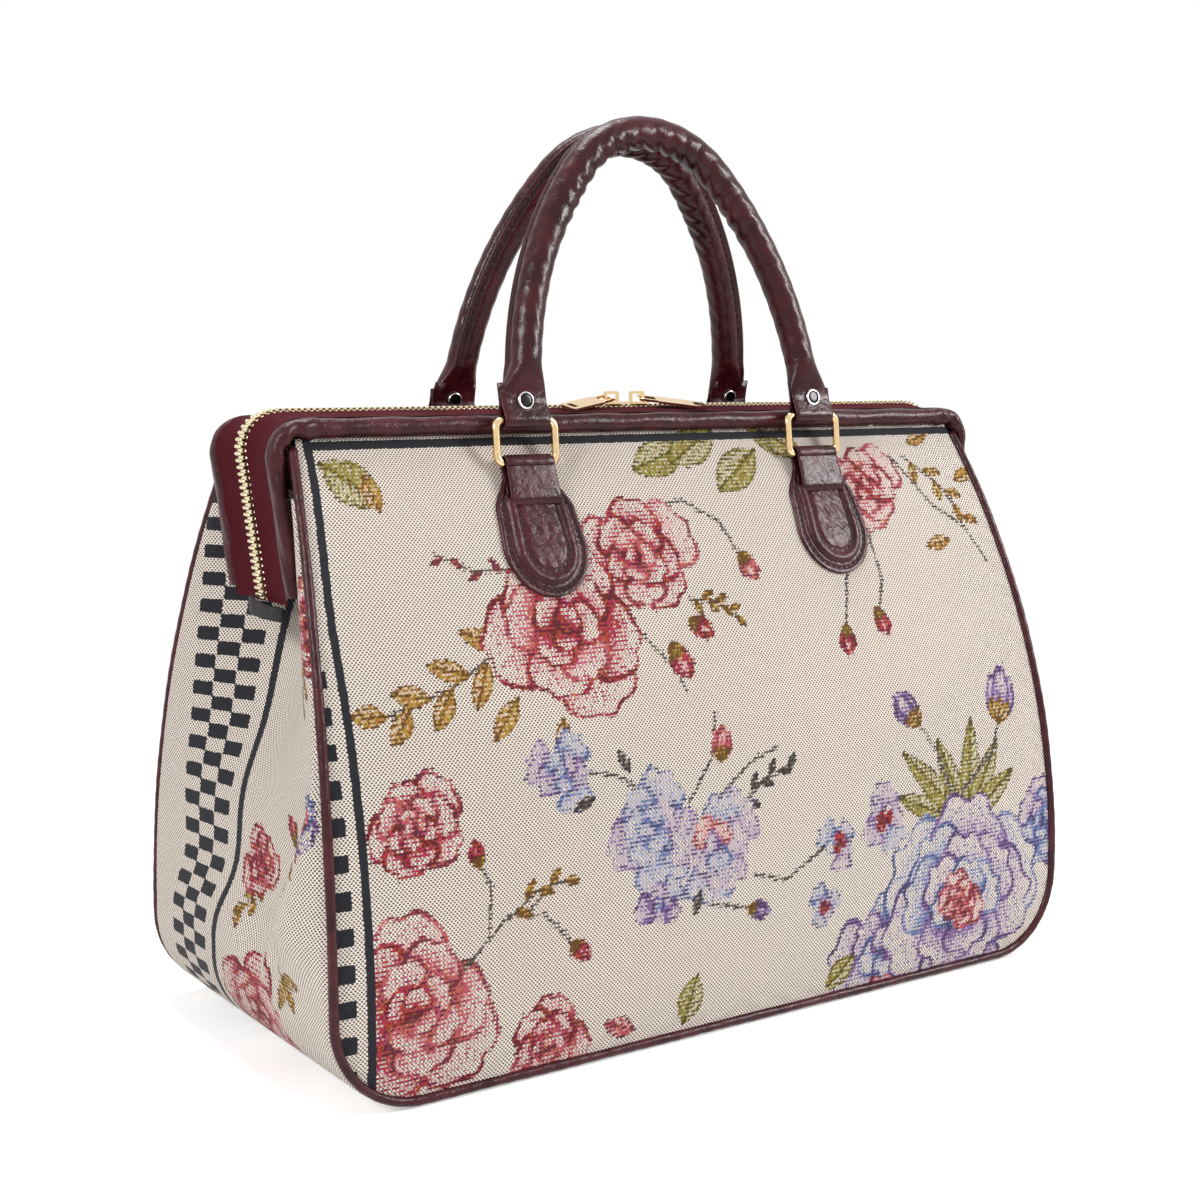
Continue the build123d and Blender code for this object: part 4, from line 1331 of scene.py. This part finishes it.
# %% [markdown]
# ## Floor, light and camera
#
# The photograph is a studio shot on white. The floor and the world look white to the camera and to shiny
# surfaces through Light Path, while the lamps light the bag at a plain level. One soft lamp stands to the left
# of the bag, one as strong in front of it on the right, and a weaker one above. The camera's place and lens
# come from a fit of the bag's outline in the photograph.

# %% White floor and world
FLOOR_SIZE, FLOOR_Z, FLOOR_GREY = 40.0, -0.0006, (0.82, 0.82, 0.82)
WHITE = (1.0, 1.0, 1.0)


def seen_directly(g):
    path = g.node("LightPath")
    camera_or_gloss = g.math("MAXIMUM", path["Is Camera Ray"], path["Is Glossy Ray"])
    return g.math("MAXIMUM", camera_or_gloss, path["Is Transmission Ray"])


def glow(g, seen, always):
    return g.node("Emission", Color=WHITE, Strength=g.scaled(seen_directly(g), seen, always))[0]


def white_floor():
    g = Graph(bpy.data.materials.new("white_floor"))
    g.tree.nodes.clear()
    paint = g.node("BsdfDiffuse", Color=FLOOR_GREY)[0]
    near = g.node("AddShader", _0=paint, _1=glow(g, 0.42, 0.0))[0]
    far = g.node("VectorMath", {"operation": "LENGTH"}, _0=g.place())["Value"]
    surface = g.node("MixShader", _0=g.ramp(far, 0.4, 1.1), _1=near, _2=glow(g, 0.5, 0.5))[0]
    g.node("OutputMaterial", Surface=surface)
    return g.owner


def white_world():
    g = Graph(bpy.data.worlds.new("studio"))
    background = g.tree.nodes["Background"].inputs
    g.put(WHITE, background["Color"])
    g.put(g.scaled(seen_directly(g), 0.64, 0.36), background["Strength"])
    return g.owner


bpy.context.scene.world = white_world()
bpy.ops.mesh.primitive_plane_add(size=FLOOR_SIZE, location=(0, 0, FLOOR_Z))
floor = bpy.context.object
floor.name = "floor"
floor.data.materials.append(white_floor())
print("made", floor.name)

# %% Lamps and camera
LAMP_AIM = (0.0, 0.0, 0.2)
LAMPS = (("key", (-2.1, -0.6, 1.4), 0.8, 36), ("fill", (1.5, -1.3, 1.1), 0.8, 36),
         ("top", (0.1, 0.5, 2.2), 1.0, 27))
SENSOR, FOCAL_PIXELS, PHOTO_PIXELS = 36.0, 1846.27, 1200
CAMERA_PLACE, CAMERA_DOWN, CAMERA_TURN = (-0.6207, -0.8813, 0.3593), 7.116, -34.42


def stand(name, data, place, tilt, turn):
    made = bpy.data.objects.new(name, data)
    bpy.context.scene.collection.objects.link(made)
    made.location, made.rotation_euler = place, (tilt, 0, turn)
    return made


for name, place, size, watts in LAMPS:
    data = bpy.data.lights.new(name, "AREA")
    data.shape, data.size, data.energy = "DISK", size, watts
    x, y, z = unit(np.array(LAMP_AIM) - place)
    stand(name, data, place, math.acos(-z), math.atan2(x, -y) + math.pi)
data = bpy.data.cameras.new("camera")
data.sensor_width, data.lens = SENSOR, SENSOR * FOCAL_PIXELS / PHOTO_PIXELS
camera = stand("camera", data, CAMERA_PLACE, math.radians(90 - CAMERA_DOWN), math.radians(CAMERA_TURN))
bpy.context.scene.camera = camera
bpy.context.scene.view_settings.view_transform = "Standard"
print("lamps:", len(LAMPS))
